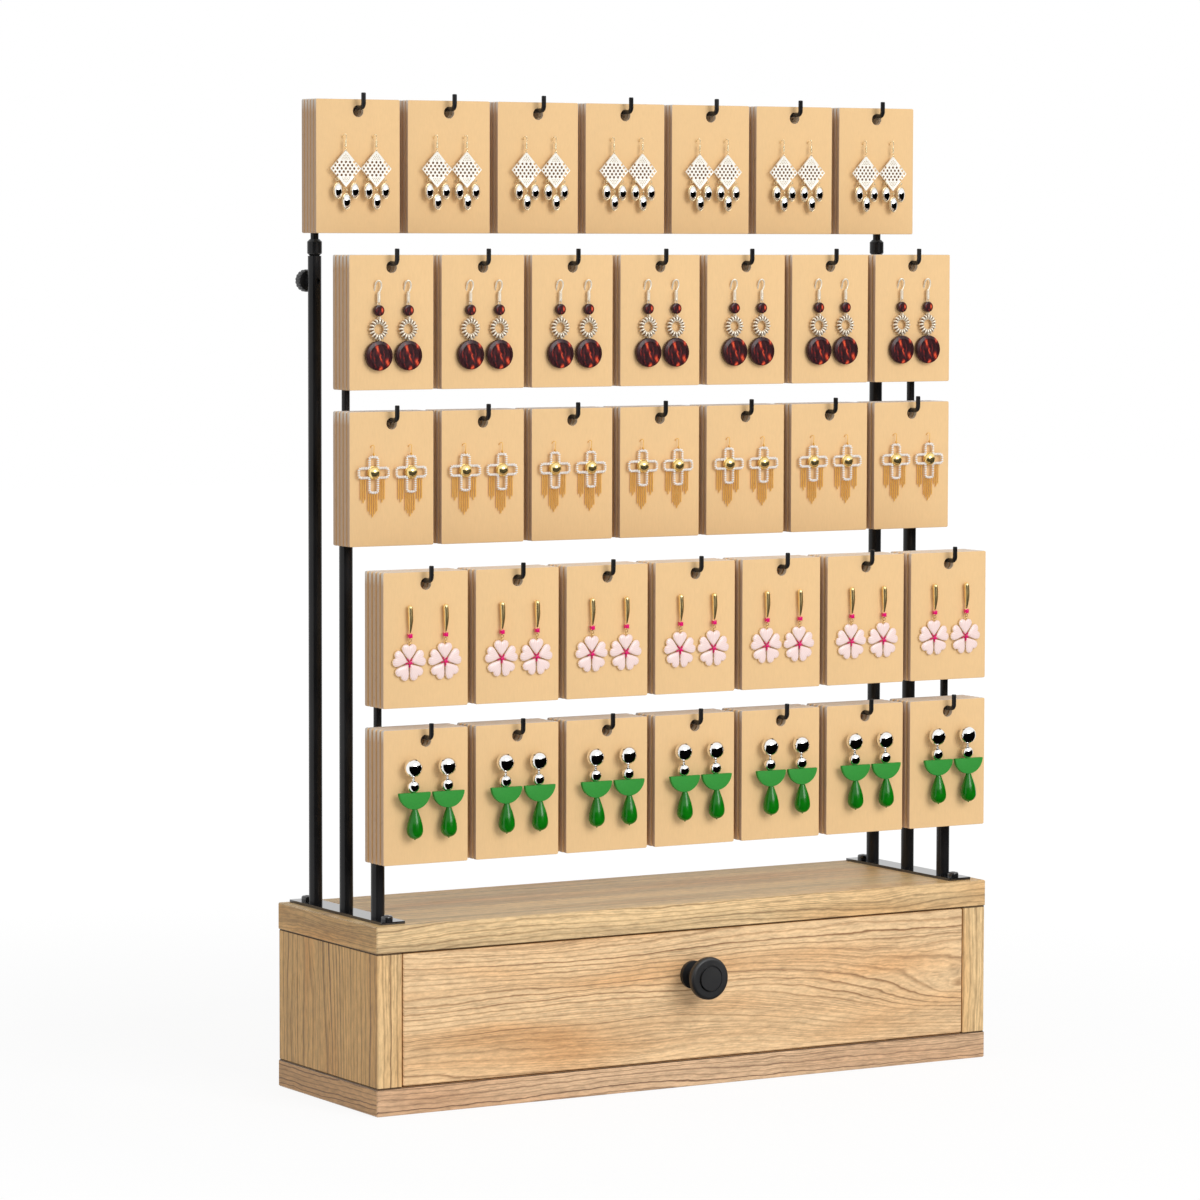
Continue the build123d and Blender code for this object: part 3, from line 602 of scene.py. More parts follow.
plainOak = {"shift": (0, 0, 0), "turn": (0, 0, 0), "eye": (0, 0, 0), "eyeRise": 0.0, "relief": (0.6, 0.09),
            "joints": None, "banded": False}
oakTones = {
    "oakDrawer": {"light": (0.88, 0.615, 0.345), "warm": (0.80, 0.455, 0.205), "dark": (0.15, 0.055, 0.018),
                  "streak": 0.08, "turn": (-quarter, 0, 0), "rings": 270.0, "sway": 0.007, "eye": (0.222, 0.036, 0.0),
                  "eyeRise": 0.034, "line": 0.92},
    "oakTop": {"light": (0.87, 0.625, 0.335), "warm": (0.79, 0.49, 0.220), "dark": (0.14, 0.065, 0.024),
               "streak": 0.30, "shift": (0.06, 0.13, 0.0), "rings": 330.0, "sway": 0.006, "line": 0.88,
               "joints": (0.0890, 1.0), "banded": True},
    "oakBottom": {"light": (0.79, 0.540, 0.330), "warm": (0.69, 0.42, 0.240), "dark": (0.11, 0.050, 0.025),
                  "streak": 0.14, "shift": (0.4, -0.17, 0.02), "rings": 360.0, "sway": 0.004, "line": 0.98,
                  "joints": (-1.0, 0.0145), "banded": True},
    "oakSide": {"light": (0.87, 0.61, 0.310), "warm": (0.78, 0.475, 0.205), "dark": (0.11, 0.050, 0.020),
                "streak": 0.12, "shift": (-0.02, 0.008, 0.19), "turn": sideways, "rings": 190.0, "sway": 0.006,
                "eye": (0.02, 0.005, 0.0), "eyeRise": 0.020, "line": 1.0, "joints": (0.0156, 0.0879)},
    "paleWood": {"light": (0.74, 0.57, 0.37), "warm": (0.69, 0.51, 0.30), "dark": (0.42, 0.28, 0.14), "streak": 0.05,
                 "shift": (0.1, 0.21, 0.1), "rings": 160.0, "sway": 0.008, "line": 0.45,
                 "relief": (0.6, 0.04)},
}
# end and jointShade are colours of painted shade, top is a tint of painted light
oakFace = {"end": (0.87, 0.745, 0.55, 1), "top": (1.10, 1.06, 0.88, 1), "jointShade": (0.045, 0.022, 0.010, 1),
           "jointShadeShare": 0.85, "gloss": 0.35}


def makeOak(name):
    tones = {**plainOak, **oakTones[name]}
    tree, shader = newFinish(name, **{"Specular IOR Level": oakFace["gloss"]})
    place = coordinates(tree)
    mapped = mapping(tree, place, tones["shift"], tones["turn"])
    facing = axes(tree, put(tree, "ShaderNodeNewGeometry").outputs["True Normal"])
    onEnd = calc(tree, "GREATER_THAN", calc(tree, "ABSOLUTE", facing["X"]), 0.8)
    if tones["banded"]:  # the boards' end edges carry a strip whose grain runs front to back
        strip = mapping(tree, place, tones["shift"], (0, 0, quarter))
        mapped = put(tree, "ShaderNodeMix", {0: onEnd, 4: mapped, 5: strip}, data_type="VECTOR").outputs[1]
    grain = useGroup(tree, oakGroup, tones, vector=mapped)
    colour = tinted(tree, grain["Color"], oakFace["end"], onEnd)  # painted shade: faces that look left or right are darkened, as the side the light misses
    # painted light: faces that look up are brightened and warmed, where light from above falls
    colour = tinted(tree, colour, oakFace["top"], calc(tree, "GREATER_THAN", facing["Z"], 0.9))
    if tones["joints"]:  # painted shade: dark lines on the broken edges where boards and panels meet, the shade of the gap between them
        height = axes(tree, place)["Z"]
        below = calc(tree, "LESS_THAN", height, tones["joints"][0])
        above = calc(tree, "GREATER_THAN", height, tones["joints"][1])
        upright = calc(tree, "LESS_THAN", calc(tree, "ABSOLUTE", facing["Z"]), 0.9)
        inJointShade = times(tree, calc(tree, "MAXIMUM", below, above), upright)
        colour = mixColour(tree, times(tree, inJointShade, oakFace["jointShadeShare"]), colour, oakFace["jointShade"])
    dress(tree, shader, colour, grain["Roughness"], grain["Height"], tones["relief"])


paintSkin = {"deep": (0.05, 0.05, 0.052), "scale": 22.0, "from": 0.3, "share": 0.35}
enamelSkin = {"from": 0.3, "grainDetail": 3.0, "relief": (0.05, 0.05)}
skinTones = {
    "blackMetal": {**paintSkin, "tone": (0.007, 0.007, 0.008), "grain": 1500.0, "rough": (0.16, 0.26), "gloss": 0.26,
                   "relief": (0.03, 0.1)},
    "blackPlate": {**paintSkin, "tone": (0.008, 0.008, 0.009), "grain": 1200.0, "rough": (0.03, 0.08), "gloss": 1.0,
                   "relief": (0.01, 0.1)},
    "blackKnob": {**paintSkin, "tone": (0.006, 0.006, 0.007), "grain": 2600.0, "rough": (0.40, 0.50), "gloss": 0.65,
                  "relief": (0.06, 0.1)},
    "darkSteel": {**paintSkin, "tone": (0.012, 0.012, 0.013), "grain": 1800.0, "rough": (0.06, 0.14), "gloss": 1.0,
                  "relief": (0.02, 0.1)},
    "champagnePlate": {"tone": (0.99, 0.97, 0.90), "deep": (0.97, 0.93, 0.84), "rough": (0.34, 0.46), "metal": 0.05},
    "champagneWire": {"tone": (0.98, 0.85, 0.58), "deep": (0.92, 0.74, 0.44), "rough": (0.22, 0.34), "metal": 0.70},
    "dotGold": {"tone": (0.56, 0.45, 0.29), "deep": (0.46, 0.35, 0.20), "rough": (0.35, 0.45), "metal": 0.20},
    # painted shade: a dark brown that stands for the shade in holes and gaps
    "brownGold": {"tone": (0.20, 0.095, 0.030), "deep": (0.15, 0.065, 0.020), "rough": (0.40, 0.55), "metal": 0.20},
    "wrapThread": {"tone": (0.95, 0.88, 0.75), "deep": (0.84, 0.73, 0.57), "rough": (0.26, 0.38), "metal": 0.35},
    "warmGold": {"tone": (0.97, 0.77, 0.38), "deep": (0.90, 0.66, 0.28), "rough": (0.30, 0.36), "metal": 1.0},
    "domeGold": {"tone": (1.00, 0.80, 0.36), "deep": (0.97, 0.73, 0.28), "rough": (0.15, 0.20), "metal": 0.93},
    "chainGold": {"tone": (0.95, 0.56, 0.120), "deep": (0.85, 0.46, 0.080), "rough": (0.30, 0.42), "metal": 0.25},
    "mirrorSilver": {"tone": (0.95, 0.94, 0.92), "deep": (0.88, 0.87, 0.85), "rough": (0.02, 0.05), "metal": 1.0},
    "pearlBead": {"tone": (0.99, 0.98, 0.96), "deep": (0.94, 0.91, 0.88), "rough": (0.18, 0.34), "scale": 700.0,
                  "detail": 2.0, "to": 0.65, "coat": 0.5, "coatRough": 0.1, "relief": None},
    "magentaGem": {**enamelSkin, "tone": (0.84, 0.012, 0.19), "deep": (0.70, 0.006, 0.14), "rough": (0.08, 0.16),
                   "gloss": 0.5, "scale": 900.0, "grain": 900.0},
    "greenMatte": {**enamelSkin, "tone": (0.040, 0.310, 0.046), "deep": (0.034, 0.275, 0.040), "rough": (0.45, 0.58),
                   "gloss": 0.15, "scale": 1400.0, "grain": 1400.0},
    "greenGloss": {**enamelSkin, "tone": (0.002, 0.195, 0.003), "deep": (0.001, 0.140, 0.002), "rough": (0.14, 0.22),
                   "gloss": 0.40, "scale": 300.0, "grain": 300.0},
}
skinShader = {"gloss": "Specular IOR Level", "metal": "Metallic", "coat": "Coat Weight", "coatRough": "Coat Roughness"}


def makeSkin(name):
    tones = {"relief": (0.02, 0.02), **skinTones[name]}
    tones["least"], tones["most"] = tones["rough"]
    tree, shader = newFinish(name, **{label: tones[key] for key, label in skinShader.items() if key in tones})
    skin = useGroup(tree, skinGroup, tones)
    dress(tree, shader, skin["Color"], skin["Roughness"], skin["Height"], tones["relief"])


paperTones = {
    "kraftFace": {"tone": (0.835, 0.562, 0.286), "fleck": (0.66, 0.41, 0.19), "share": 0.07, "relief": (0.10, 0.06)},
    "kraftEdge": {"tone": (0.640, 0.450, 0.310), "fleck": (0.38, 0.24, 0.15), "share": 0.35, "relief": (0.30, 0.06)},
    # painted light: a pale tone for the hole walls that stands in for light reaching into the hole
    "kraftCore": {"tone": (0.960, 0.790, 0.600), "fleck": (0.76, 0.56, 0.40), "share": 0.20, "relief": (0.30, 0.06)},
}
# painted highlight on the cards' cut edges towards the top
paintedTopLight = {"kraftEdge": {"from": 0.90, "share": 0.9, "tone": (0.93, 0.86, 0.78, 1)}}


def makePaper(name):
    tones = paperTones[name]
    tree, shader = newFinish(name, **{"Specular IOR Level": 0.2})
    fibre = useGroup(tree, paperGroup, tones)
    colour = fibre["Color"]
    if name in paintedTopLight:  # painted highlight: cut edges made paler towards the top, where light from above falls, along the card's own map
        pale = paintedTopLight[name]
        topLight = between(tree, axes(tree, coordinates(tree, "UV"))["Y"], pale["from"], 1.0, 0.0, pale["share"])
        colour = mixColour(tree, topLight, colour, pale["tone"])
    dress(tree, shader, colour, fibre["Roughness"], fibre["Height"], tones["relief"])


resinTones = {"ground": (0.026, 0.009, 0.011, 1), "smoke": (0.075, 0.020, 0.024, 1), "wine": (0.25, 0.018, 0.015, 1),
              "ember": (0.80, 0.105, 0.040, 1), "warp": 0.30}
resinStrokes = {  # middle across and up, turn, half length, half width, strength, on a disc of radius 1
    "mottledDisc": (
        (-0.20, 0.46, 0.30, 0.36, 0.13, 1.0), (0.06, -0.12, 0.32, 0.46, 0.075, 0.85),
        (0.62, 0.66, 0.35, 0.26, 0.12, 0.9), (0.58, -0.46, 0.25, 0.28, 0.17, 0.95),
        (0.05, -0.84, -0.35, 0.20, 0.15, 1.0), (-0.70, 0.10, 0.12, 0.34, 0.07, 0.6),
        (-0.44, -0.20, 0.30, 0.26, 0.05, 0.5), (0.32, 0.10, 0.20, 0.30, 0.04, 0.5),
        (-0.36, -0.66, 0.2, 0.2, 0.06, 0.45)),
    "mottledBead": (
        (0.52, 0.10, 0.10, 0.62, 0.26, 1.0), (-0.60, 0.10, -0.15, 0.5, 0.08, 0.55), (0.05, -0.6, 0.3, 0.3, 0.12, 0.6)),
}


def makeMottledResin(name):
    tree, shader = newFinish(name, **{"Roughness": 0.26, "Specular IOR Level": 0.28})
    centred = mapping(tree, coordinates(tree, "UV"), (-1, -1, 0), scale=(2, 2, 0))
    stir = put(tree, "ShaderNodeTexNoise", {"Vector": centred, "Scale": 3.4, "Detail": 3.0}).outputs["Color"]
    push = vectorMath(tree, "SUBTRACT", stir, (0.5, 0.5, 0.5))
    push = vectorMath(tree, "MULTIPLY", push, (resinTones["warp"], resinTones["warp"], 0))
    warped = vectorMath(tree, "ADD", push, centred)
    red = 0.0
    for across, up, turn, length, width, strength in resinStrokes[name]:
        local = mapping(tree, warped, (across, up, 0), (0, 0, turn), (width, length, 1), "TEXTURE")
        away = vectorMath(tree, "LENGTH", local)
        red = calc(tree, "MAXIMUM", between(tree, away, 1.35, 0.25, 0.0, strength), red)
    smoke = between(tree, stretchedCloud(tree, warped, (5, 1.6, 1), 3), 0.40, 0.68)
    colour = mixColour(tree, smoke, resinTones["ground"], resinTones["smoke"])
    colour = mixColour(tree, between(tree, red, 0.10, 0.55), colour, resinTones["wine"])
    colour = mixColour(tree, between(tree, red, 0.50, 0.95), colour, resinTones["ember"])
    tree.links.new(colour, shader.inputs["Base Color"])


petalTones = {"rib": (0.91, 0.67, 0.630, 1), "crest": (0.96, 0.80, 0.765, 1), "ribs": 11.0, "root": 0.55,
              "rough": (0.40, 0.26), "relief": (0.35, 0.12)}


def makePetal():
    tree, shader = newFinish("petalEnamel", **{"Coat Weight": 0.35, "Coat Roughness": 0.12})
    own = axes(tree, coordinates(tree, "UV"))
    fan = calc(tree, "DIVIDE", calc(tree, "SUBTRACT", own["X"], 0.5), calc(tree, "ADD", own["Y"], petalTones["root"]))
    wave = calc(tree, "SINE", times(tree, fan, petalTones["ribs"] * 2 * math.pi))
    rib = between(tree, wave, -1.0, 1.0)
    dress(tree, shader, mixColour(tree, rib, petalTones["rib"], petalTones["crest"]),
          between(tree, rib, 0.0, 1.0, *petalTones["rough"]), rib, petalTones["relief"])


for make, names in ((makeOak, oakTones), (makeSkin, skinTones), (makePaper, paperTones),
                    (makeMottledResin, resinStrokes)):
    for name in names:
        make(name)
makePetal()
print("stage: finishes")

# finishes on the solids that stay
solidFinish = {
    "oakDrawer": ("drawer_front", "back_panel"), "oakTop": ("top_board",), "oakBottom": ("bottom_board",),
    "oakSide": ("left_side_panel", "right_side_panel"), "blackKnob": ("drawer_knob",),
    "paleWood": ("drawer_left_wall", "drawer_right_wall", "drawer_rear_wall", "drawer_bottom", "panel_dowels"),
    "darkSteel": ("knob_screw", "plate_screws"), "blackPlate": ("left_foot_plate", "right_foot_plate"),
}
finishOf = {solid: name for name, solids in solidFinish.items() for solid in solids}
for solid, node in nodes.items():
    finish = finishes[finishOf.get(solid, "blackKnob" if solid.endswith("thumb_screw") else "blackMetal")]
    if not node.data.materials:
        node.data.materials.append(finish)
    for index in range(len(node.data.materials)):
        node.data.materials[index] = finish
print("stage: solids dressed")

# rows of goods: where each row's first card and first earring hang
layout = {"cardHalf": 26.0, "columnStep": 57.0, "columns": 7, "layers": 5,
          "pitch": {1: 18.9, 2: 18.2, 3: 23.2, 4: 21.9, 5: 20.9},
          "body": {1: "rear_frame", 2: "middle_frame", 3: "middle_frame", 4: "front_frame", 5: "front_frame"}}
rowBox = {row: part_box(f"row_{row}_cards") for row in layout["pitch"]}


def cardSpot(row, across, out, drop):
    low, high = rowBox[row]
    return (low.x + (layout["cardHalf"] + across) * mm, low.y - out * mm, high.z - drop * mm)


def spot(row, across, out, drop):
    return cardSpot(row, across - layout["pitch"][row] / 2, out, drop)


def repeatAlong(obj, count, step):
    modifier = obj.modifiers.new("repeat", "ARRAY")
    modifier.count = count
    modifier.use_relative_offset = False
    modifier.use_constant_offset = True
    modifier.constant_offset_displace = step


def finishPiece(obj, name, row, node, worn, smoothAngle):
    only(obj)
    obj.name = name
    obj.data.name = name
    if smoothAngle:
        bpy.ops.object.shade_smooth_by_angle(angle=math.radians(smoothAngle))
    if worn:
        cover(obj, worn)
    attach(obj, layout["body"][row])
    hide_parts(node)


def finishPairs(parts, name, row, node, worn, smoothAngle=60):  # one earring becomes the row's pairs
    piece = gather(parts)
    repeatAlong(piece, 2, (layout["pitch"][row] * mm, 0, 0))
    repeatAlong(piece, layout["columns"], (layout["columnStep"] * mm, 0, 0))
    finishPiece(applyModifiers(piece), name, row, node, worn, smoothAngle)


# cards: thick kraft boards with soft edges and a punched hole
card = {"size": (52.0, 2.9, 73.3), "corner": 0.8, "edge": 0.35, "hole": 6.6, "holeDrop": 6.6, "holeSides": 20}


def makeCards(row):
    thickness, height = card["size"][1:]
    middle = cardSpot(row, 0, -thickness / 2, height / 2)
    board = addBlock(middle, card["size"])
    roundEdges(board, lambda a, b: abs(a.y - b.y) > mm, card["corner"], 2)
    roundEdges(board, acrossDepth, card["edge"], 2)
    eyelet = cardSpot(row, 0, -thickness / 2, card["holeDrop"])
    carve(board, addPin(eyelet, card["hole"], 4 * thickness, card["holeSides"]))
    flatUv(board, middle, height * mm)

    def side(face):  # front and back, cut edges, or the hole's wall
        fromHole = math.hypot(face.center.x - eyelet[0], face.center.z - eyelet[2])
        # the hole's wall takes the pale tone of painted light
        if fromHole < 0.55 * card["hole"] * mm and abs(face.normal.y) < 0.5:
            return 2
        return 0 if abs(face.normal.y) > 0.75 else 1

    cover(board, ("kraftFace", "kraftEdge", "kraftCore"), side)
    deep = rowBox[row][1].y - rowBox[row][0].y
    repeatAlong(board, layout["layers"], (0, (deep - thickness * mm) / (layout["layers"] - 1), 0))
    repeatAlong(board, layout["columns"], (layout["columnStep"] * mm, 0, 0))
    finishPiece(applyModifiers(board), f"row{row}Cards", row, f"row_{row}_cards", None, 30)


for row in layout["pitch"]:
    makeCards(row)
print("stage: cards")

# row 1: pierced rhombs with mirror drops
rhomb = {"width": 18.7, "height": 20.1, "thickness": 0.8, "drop": 38.0, "out": 3.3, "rim": 0.75, "sink": 0.22,
         "hole": 1.50, "holeStep": 2.6, "holeRise": 1.77, "holeRows": (5, 6, 7, 6, 5), "dot": 0.62, "dotStep": 1.15,
         "dotOut": 0.2, "dotRows": (5.2, 6.05, 6.9, 7.75), "holeShade": 0.80, "holeShadeBehind": 0.6, "holeShadeDepth": 0.3,
         "wire": 0.52, "coil": (23.4, 1.35, 6, 0.5), "bail": (1.35, 1.35, 1.2), "bailDrop": 23.0, "loop": (0.8, 0.2),
         "loopRise": 0.35,
         "wirePath": ((0.0, -0.6, 21.6), (-0.6, 0.8, 20.6), (-0.9, 2.2, 19.5), (-0.1, 3.3, 19.0), (0.45, 3.3, 20.4),
                      (0.1, 3.3, 22.4), (0, 3.3, 24.4))}
oval = {"places": ((-5.2, 50.2), (5.2, 50.2), (0.0, 56.0)), "size": (5.3, 3.6, 8.1), "out": 4.3,
        "turn": math.radians(14), "rim": 0.20, "rimBack": 0.3, "rimDepth": 1.6, "link": (0.85, 0.2), "linkGrip": 1.6,
        "linkTurn": (0, quarter, 0.5), "cap": (1.0, 1.4, 1.0), "capBack": 0.4, "capRise": 0.25, "boss": (1.2, 0.35),
        "bossBack": 1.6, "bossHeight": 1.5}


def rowOfPlaces(count, step):
    return [(place - (count - 1) / 2) * step for place in range(count)]


def makeRhombs():
    out, drop, thickness = rhomb["out"], rhomb["drop"], rhomb["thickness"]
    body = addSheet(spot(1, 0, out + thickness / 2, drop), 4, rhomb["width"], rhomb["height"])
    pickFaces(body, lambda face: True)
    bpy.ops.mesh.inset(thickness=rhomb["rim"] * mm)
    bpy.ops.transform.translate(value=(0, rhomb["sink"] * mm, 0))
    closeEdit()
    wall = body.modifiers.new("wall", "SOLIDIFY")
    wall.thickness = thickness * mm
    wall.offset = -1
    applyModifiers(body)
    holes = []
    for index, count in enumerate(rhomb["holeRows"]):
        rise = (len(rhomb["holeRows"]) // 2 - index) * rhomb["holeRise"]
        holes += [addPin(spot(1, across, out, drop - rise), rhomb["hole"], 5 * thickness, 10)
                  for across in rowOfPlaces(count, rhomb["holeStep"])]
    carve(body, gather(holes))
    dots = []
    for rise in rhomb["dotRows"]:
        half = rhomb["width"] / 2 * (1 - 2 * rise / rhomb["height"]) - 1.5 * rhomb["rim"]
        for across in rowOfPlaces(max(1, int(2 * half / rhomb["dotStep"])), rhomb["dotStep"]):
            dots += [addBead(spot(1, across, out + rhomb["dotOut"], drop + side * rise), rhomb["dot"])
                     for side in (-1, 1)]
    holeShade = addSheet(spot(1, 0, out - thickness * rhomb["holeShadeBehind"], drop), 4, rhomb["width"] * rhomb["holeShade"],
                       rhomb["height"] * rhomb["holeShade"])  # painted shade: a dark sheet behind the plate that darkens the holes
    pickFaces(holeShade, lambda face: True)
    pushForward(rhomb["holeShadeDepth"] * thickness)
    closeEdit()
    recalculate(holeShade)
    made = (body, gather(dots), holeShade)
    for index, piece in enumerate(made):
        cover(piece, ("champagnePlate", "dotGold", "brownGold"), lambda face: index)
    finishPairs(made, "rhombPlates", 1, "row_1_rhombs", None, 25)


def coilAt(row, out, topDrop, width, turns, rise):  # a short stack of wire turns
    return [addHoop(spot(row, 0, out, topDrop + turn * rise), width / 2 - rise / 2, rise * 0.56, (0.12, 0, 0),
                    steps=(10, 6)) for turn in range(turns)]


def makeRhombWires():
    out, top = rhomb["out"], rhomb["drop"] - rhomb["height"] / 2
    (ring, wire), (width, _, height) = oval["link"], oval["size"]
    parts = [addWire([spot(1, *point) for point in rhomb["wirePath"]], rhomb["wire"]),
             *coilAt(1, out, *rhomb["coil"]),
             addBall(spot(1, 0, out, rhomb["bailDrop"]), rhomb["bail"], 10, 6),
             addHoop(spot(1, 0, out, top - rhomb["loopRise"]), *rhomb["loop"], sideways)]
    for across, drop in oval["places"]:
        edge = rhomb["drop"] + rhomb["height"] / 2 * (1 - 2 * abs(across) / rhomb["width"])
        tip = drop - height / 2
        reach = max(1.0, (tip - edge + oval["linkGrip"]) / (2 * ring))
        parts += [addHoop(spot(1, across, out, (edge + tip) / 2 - rhomb["loopRise"]), ring, wire, oval["linkTurn"],
                          (1, 1, reach)),
                  addHoop(spot(1, across, oval["out"] - oval["rimBack"], drop), width / 2, oval["rim"], toFront,
                          (1, oval["rimDepth"], height / width), (24, 8)),
                  addBall(spot(1, across, oval["out"] - oval["capBack"], tip - oval["capRise"]), oval["cap"], 8, 6)]
    finishPairs(parts, "rhombWires", 1, "row_1_rhombs", ["champagneWire"])


def makeOvalDrops():
    parts = [addBall(spot(1, across, oval["out"], drop), oval["size"], 24, 14, (0, 0, oval["turn"]))
             for across, drop in oval["places"]]
    parts += [addHoop(spot(1, across, oval["out"] - oval["bossBack"], drop), *oval["boss"], toFront,
                      (1, 1, oval["bossHeight"]), (14, 6))
              for across, drop in oval["places"]]
    finishPairs(parts, "ovalDrops", 1, "row_1_drops", ["mirrorSilver"])


makeRhombs()
makeRhombWires()
makeOvalDrops()
print("stage: row 1 earrings")

# row 2: ear hooks, mottled beads, wrapped rings and mottled discs
wrapped = {"out": 2.15, "ringDrop": 40.2, "ring": 4.3, "band": 1.15, "thread": 0.56, "bands": 16, "wire": 1.0,
           "core": 0.8, "lean": 0.16, "flat": 0.92, "bail": (1.6, 1.6, 1.3), "bailRise": 0.7, "loop": (0.85, 0.24),
           "loopDrop": 26.5, "link": (0.9, 0.32), "linkAcross": 0.25, "linkTurn": (0, quarter, 0.3),
           "coil": (21.0, 2.1, 7, 0.68), "links": ((32.6, 36.4), (44.4, 47.2)),
           "hookPath": ((-1.2, -0.5, 19.6), (-1.5, 0.3, 18.4), (-1.6, 1.0, 16.8), (-1.4, 1.6, 14.8), (-0.2, 2.15, 13.7),
                        (1.2, 2.15, 14.4), (1.7, 2.15, 16.0), (1.5, 2.15, 18.0), (0.5, 2.15, 19.8), (0, 2.15, 21.8))}
mottled = {"disc": (16.2, 2.4, 54.6, 48), "bead": (6.0, 2.4, 30.1, 32), "edge": 0.32, "crown": (0.11, 0.004)}


def makeRingWires():
    out, (ring, wire) = wrapped["out"], wrapped["link"]
    parts = [addWire([spot(2, *point) for point in wrapped["hookPath"]], wrapped["wire"]),
             *coilAt(2, out, *wrapped["coil"]),
             addBall(spot(2, 0, out, wrapped["coil"][0] - wrapped["bailRise"]), wrapped["bail"], 10, 6),
             addHoop(spot(2, 0, out, wrapped["loopDrop"]), *wrapped["loop"], steps=(14, 6))]
    for top, bottom in wrapped["links"]:
        parts.append(addHoop(spot(2, wrapped["linkAcross"], out, (top + bottom) / 2), ring, wire, wrapped["linkTurn"],
                             (1, 1, (bottom - top) / (2 * ring)), (14, 6)))
    finishPairs(parts, "ringWires", 2, "row_2_rings", ["wrapThread"])


def makeWrappedRings():
    centre = spot(2, 0, wrapped["out"], wrapped["ringDrop"])
    core = addHoop(centre, wrapped["ring"], wrapped["band"] * wrapped["core"], steps=(32, 8))
    turn = addHoop(spot(2, wrapped["ring"], wrapped["out"], wrapped["ringDrop"]), wrapped["band"], wrapped["thread"],
                   (wrapped["lean"], 0, 0), (1, wrapped["flat"], 1), (12, 7))
    spinCopies(turn, wrapped["bands"], centre)
    recalculate(turn)
    # painted shade: the core under the thread turns is dark brown, for the shade in the gaps between turns
    for index, piece in enumerate((turn, core)):
        cover(piece, ["wrapThread", "brownGold"], lambda face: index)
    finishPairs([core, turn], "wrappedRings", 2, "row_2_rings", None)


def makeMottledDiscs():
    made = []
    for width, thickness, drop, sides in (mottled["disc"], mottled["bead"]):
        centre = spot(2, 0, wrapped["out"], drop)
        disc = addPin(centre, width, thickness, sides)
        roundEdges(disc, acrossDepth, mottled["edge"], 3)
        pickFaces(disc, lambda face: face.normal.y < -0.95)
        inward, rise = mottled["crown"]
        for _ in range(3):  # crown the front
            bpy.ops.mesh.inset(thickness=width * inward * mm)
            bpy.ops.transform.translate(value=(0, -width * rise * mm, 0))
        closeEdit()
        flatUv(disc, centre, width * mm)
        cover(disc, ["mottledDisc", "mottledBead"], lambda face: len(made))
        made.append(disc)
    finishPairs(made, "mottledDiscs", 2, "row_2_discs", None, 50)


makeRingWires()
makeWrappedRings()
makeMottledDiscs()
print("stage: row 2 earrings")

# row 3: beaded crosses, gold domes and chain fringes
cross = {"out": 2.3, "across": -0.8, "drop": 33.1, "up": 9.6, "down": 11.6, "side": 10.0, "arm": 7.0,
         "bead": (1.8, 1.8, 0.80), "beads": 70, "cut": 0.8, "wire": 0.9, "dome": (7.2, 5.6, 7.2), "domeOut": 0.3,
         "domeBack": 0.5, "collet": 0.22, "colletOut": 0.1, "frameBack": 0.5, "cup": (3.1, 0.45), "cupBack": 0.9,
         "post": 1.4, "postBack": 0.4, "loop": (0.75, 0.2), "loopRise": 0.2, "hook": 0.34,
         "hookPath": ((-0.6, -0.5, 20.0), (-0.9, 0.8, 18.6), (-0.2, 1.8, 17.9), (0.6, 2.1, 18.6), (0.2, 2.3, 20.0),
                      (0, 2.3, 23.7))}
fringe = {"out": 1.0, "link": (0.52, 0.52, 0.74), "step": 0.80, "turns": (0.0, math.radians(45)), "strandStep": 1.32,
          "groups": ((-5.8, 36.6, (48.9, 50.4, 48.9)), (5.8, 36.6, (48.9, 50.4, 48.9)),
                     (0.0, 44.5, (55.0, 57.0, 58.8, 57.2, 55.2)))}


def crossSpot(across, out, drop):
    return spot(3, across + cross["across"], out, drop)


def crossOutline():
    inset, cut = cross["bead"][0] / 2, cross["cut"]
    arm = cross["arm"] / 2 - inset
    corners = []
    for turn, side in enumerate(("up", "side", "down", "side")):
        half = cross[side] - inset
        for x, z in ((-arm, half - cut), (-arm + cut, half), (arm - cut, half), (arm, half - cut), (arm, arm)):
            for _ in range(turn):
                x, z = z, -x
            corners.append((x, z))
    return corners


def walk(corners, count):  # evenly spaced places round a closed outline, each with its run's angle
    edges = [(Vector(a), Vector(b)) for a, b in zip(corners, corners[1:] + corners[:1])]
    step = sum((b - a).length for a, b in edges) / count
    places, reached = [], 0.0
    for a, b in edges:
        run = b - a
        while len(places) < count and len(places) * step < reached + run.length:
            place = a.lerp(b, (len(places) * step - reached) / run.length)
            places.append((place, math.atan2(run.x, run.y)))
        reached += run.length
    return places


def makeCrosses():
    corners = crossOutline()
    out, drop = cross["out"], cross["drop"]
    beads = [addBall(crossSpot(place.x, out, drop - place.y), cross["bead"], 8, 6, (0, angle, 0))
             for place, angle in walk(corners, cross["beads"])]
    finishPairs(beads, "crossBeads", 3, "row_3_crosses", ["pearlBead"])
    outline = [crossSpot(x, out - cross["frameBack"], drop - z) for x, z in corners]
    parts = [addWire(outline, cross["wire"], True, False),
             addHoop(crossSpot(0, out - cross["cupBack"], drop), *cross["cup"], steps=(28, 8)),
             addPin(crossSpot(0, out / 2 - cross["postBack"], drop), cross["post"], out, 10),
             addWire([crossSpot(*point) for point in cross["hookPath"]], cross["hook"]),
             addHoop(crossSpot(0, out, drop - cross["up"] - cross["loopRise"]), *cross["loop"], sideways)]
    finishPairs(parts, "crossFrames", 3, "row_3_crosses", ["chainGold"])
    dome = addBall(crossSpot(0, out + cross["domeOut"], drop), cross["dome"], 28, 18)
    sliceOff(dome, crossSpot(0, cross["domeBack"], drop), (0, 1, 0))
    collet = addHoop(crossSpot(0, out + cross["colletOut"], drop), cross["dome"][0] / 2, cross["collet"],
                     steps=(28, 8))
    finishPairs([dome, collet], "crossDomes", 3, "row_3_crosses", ["domeGold"])


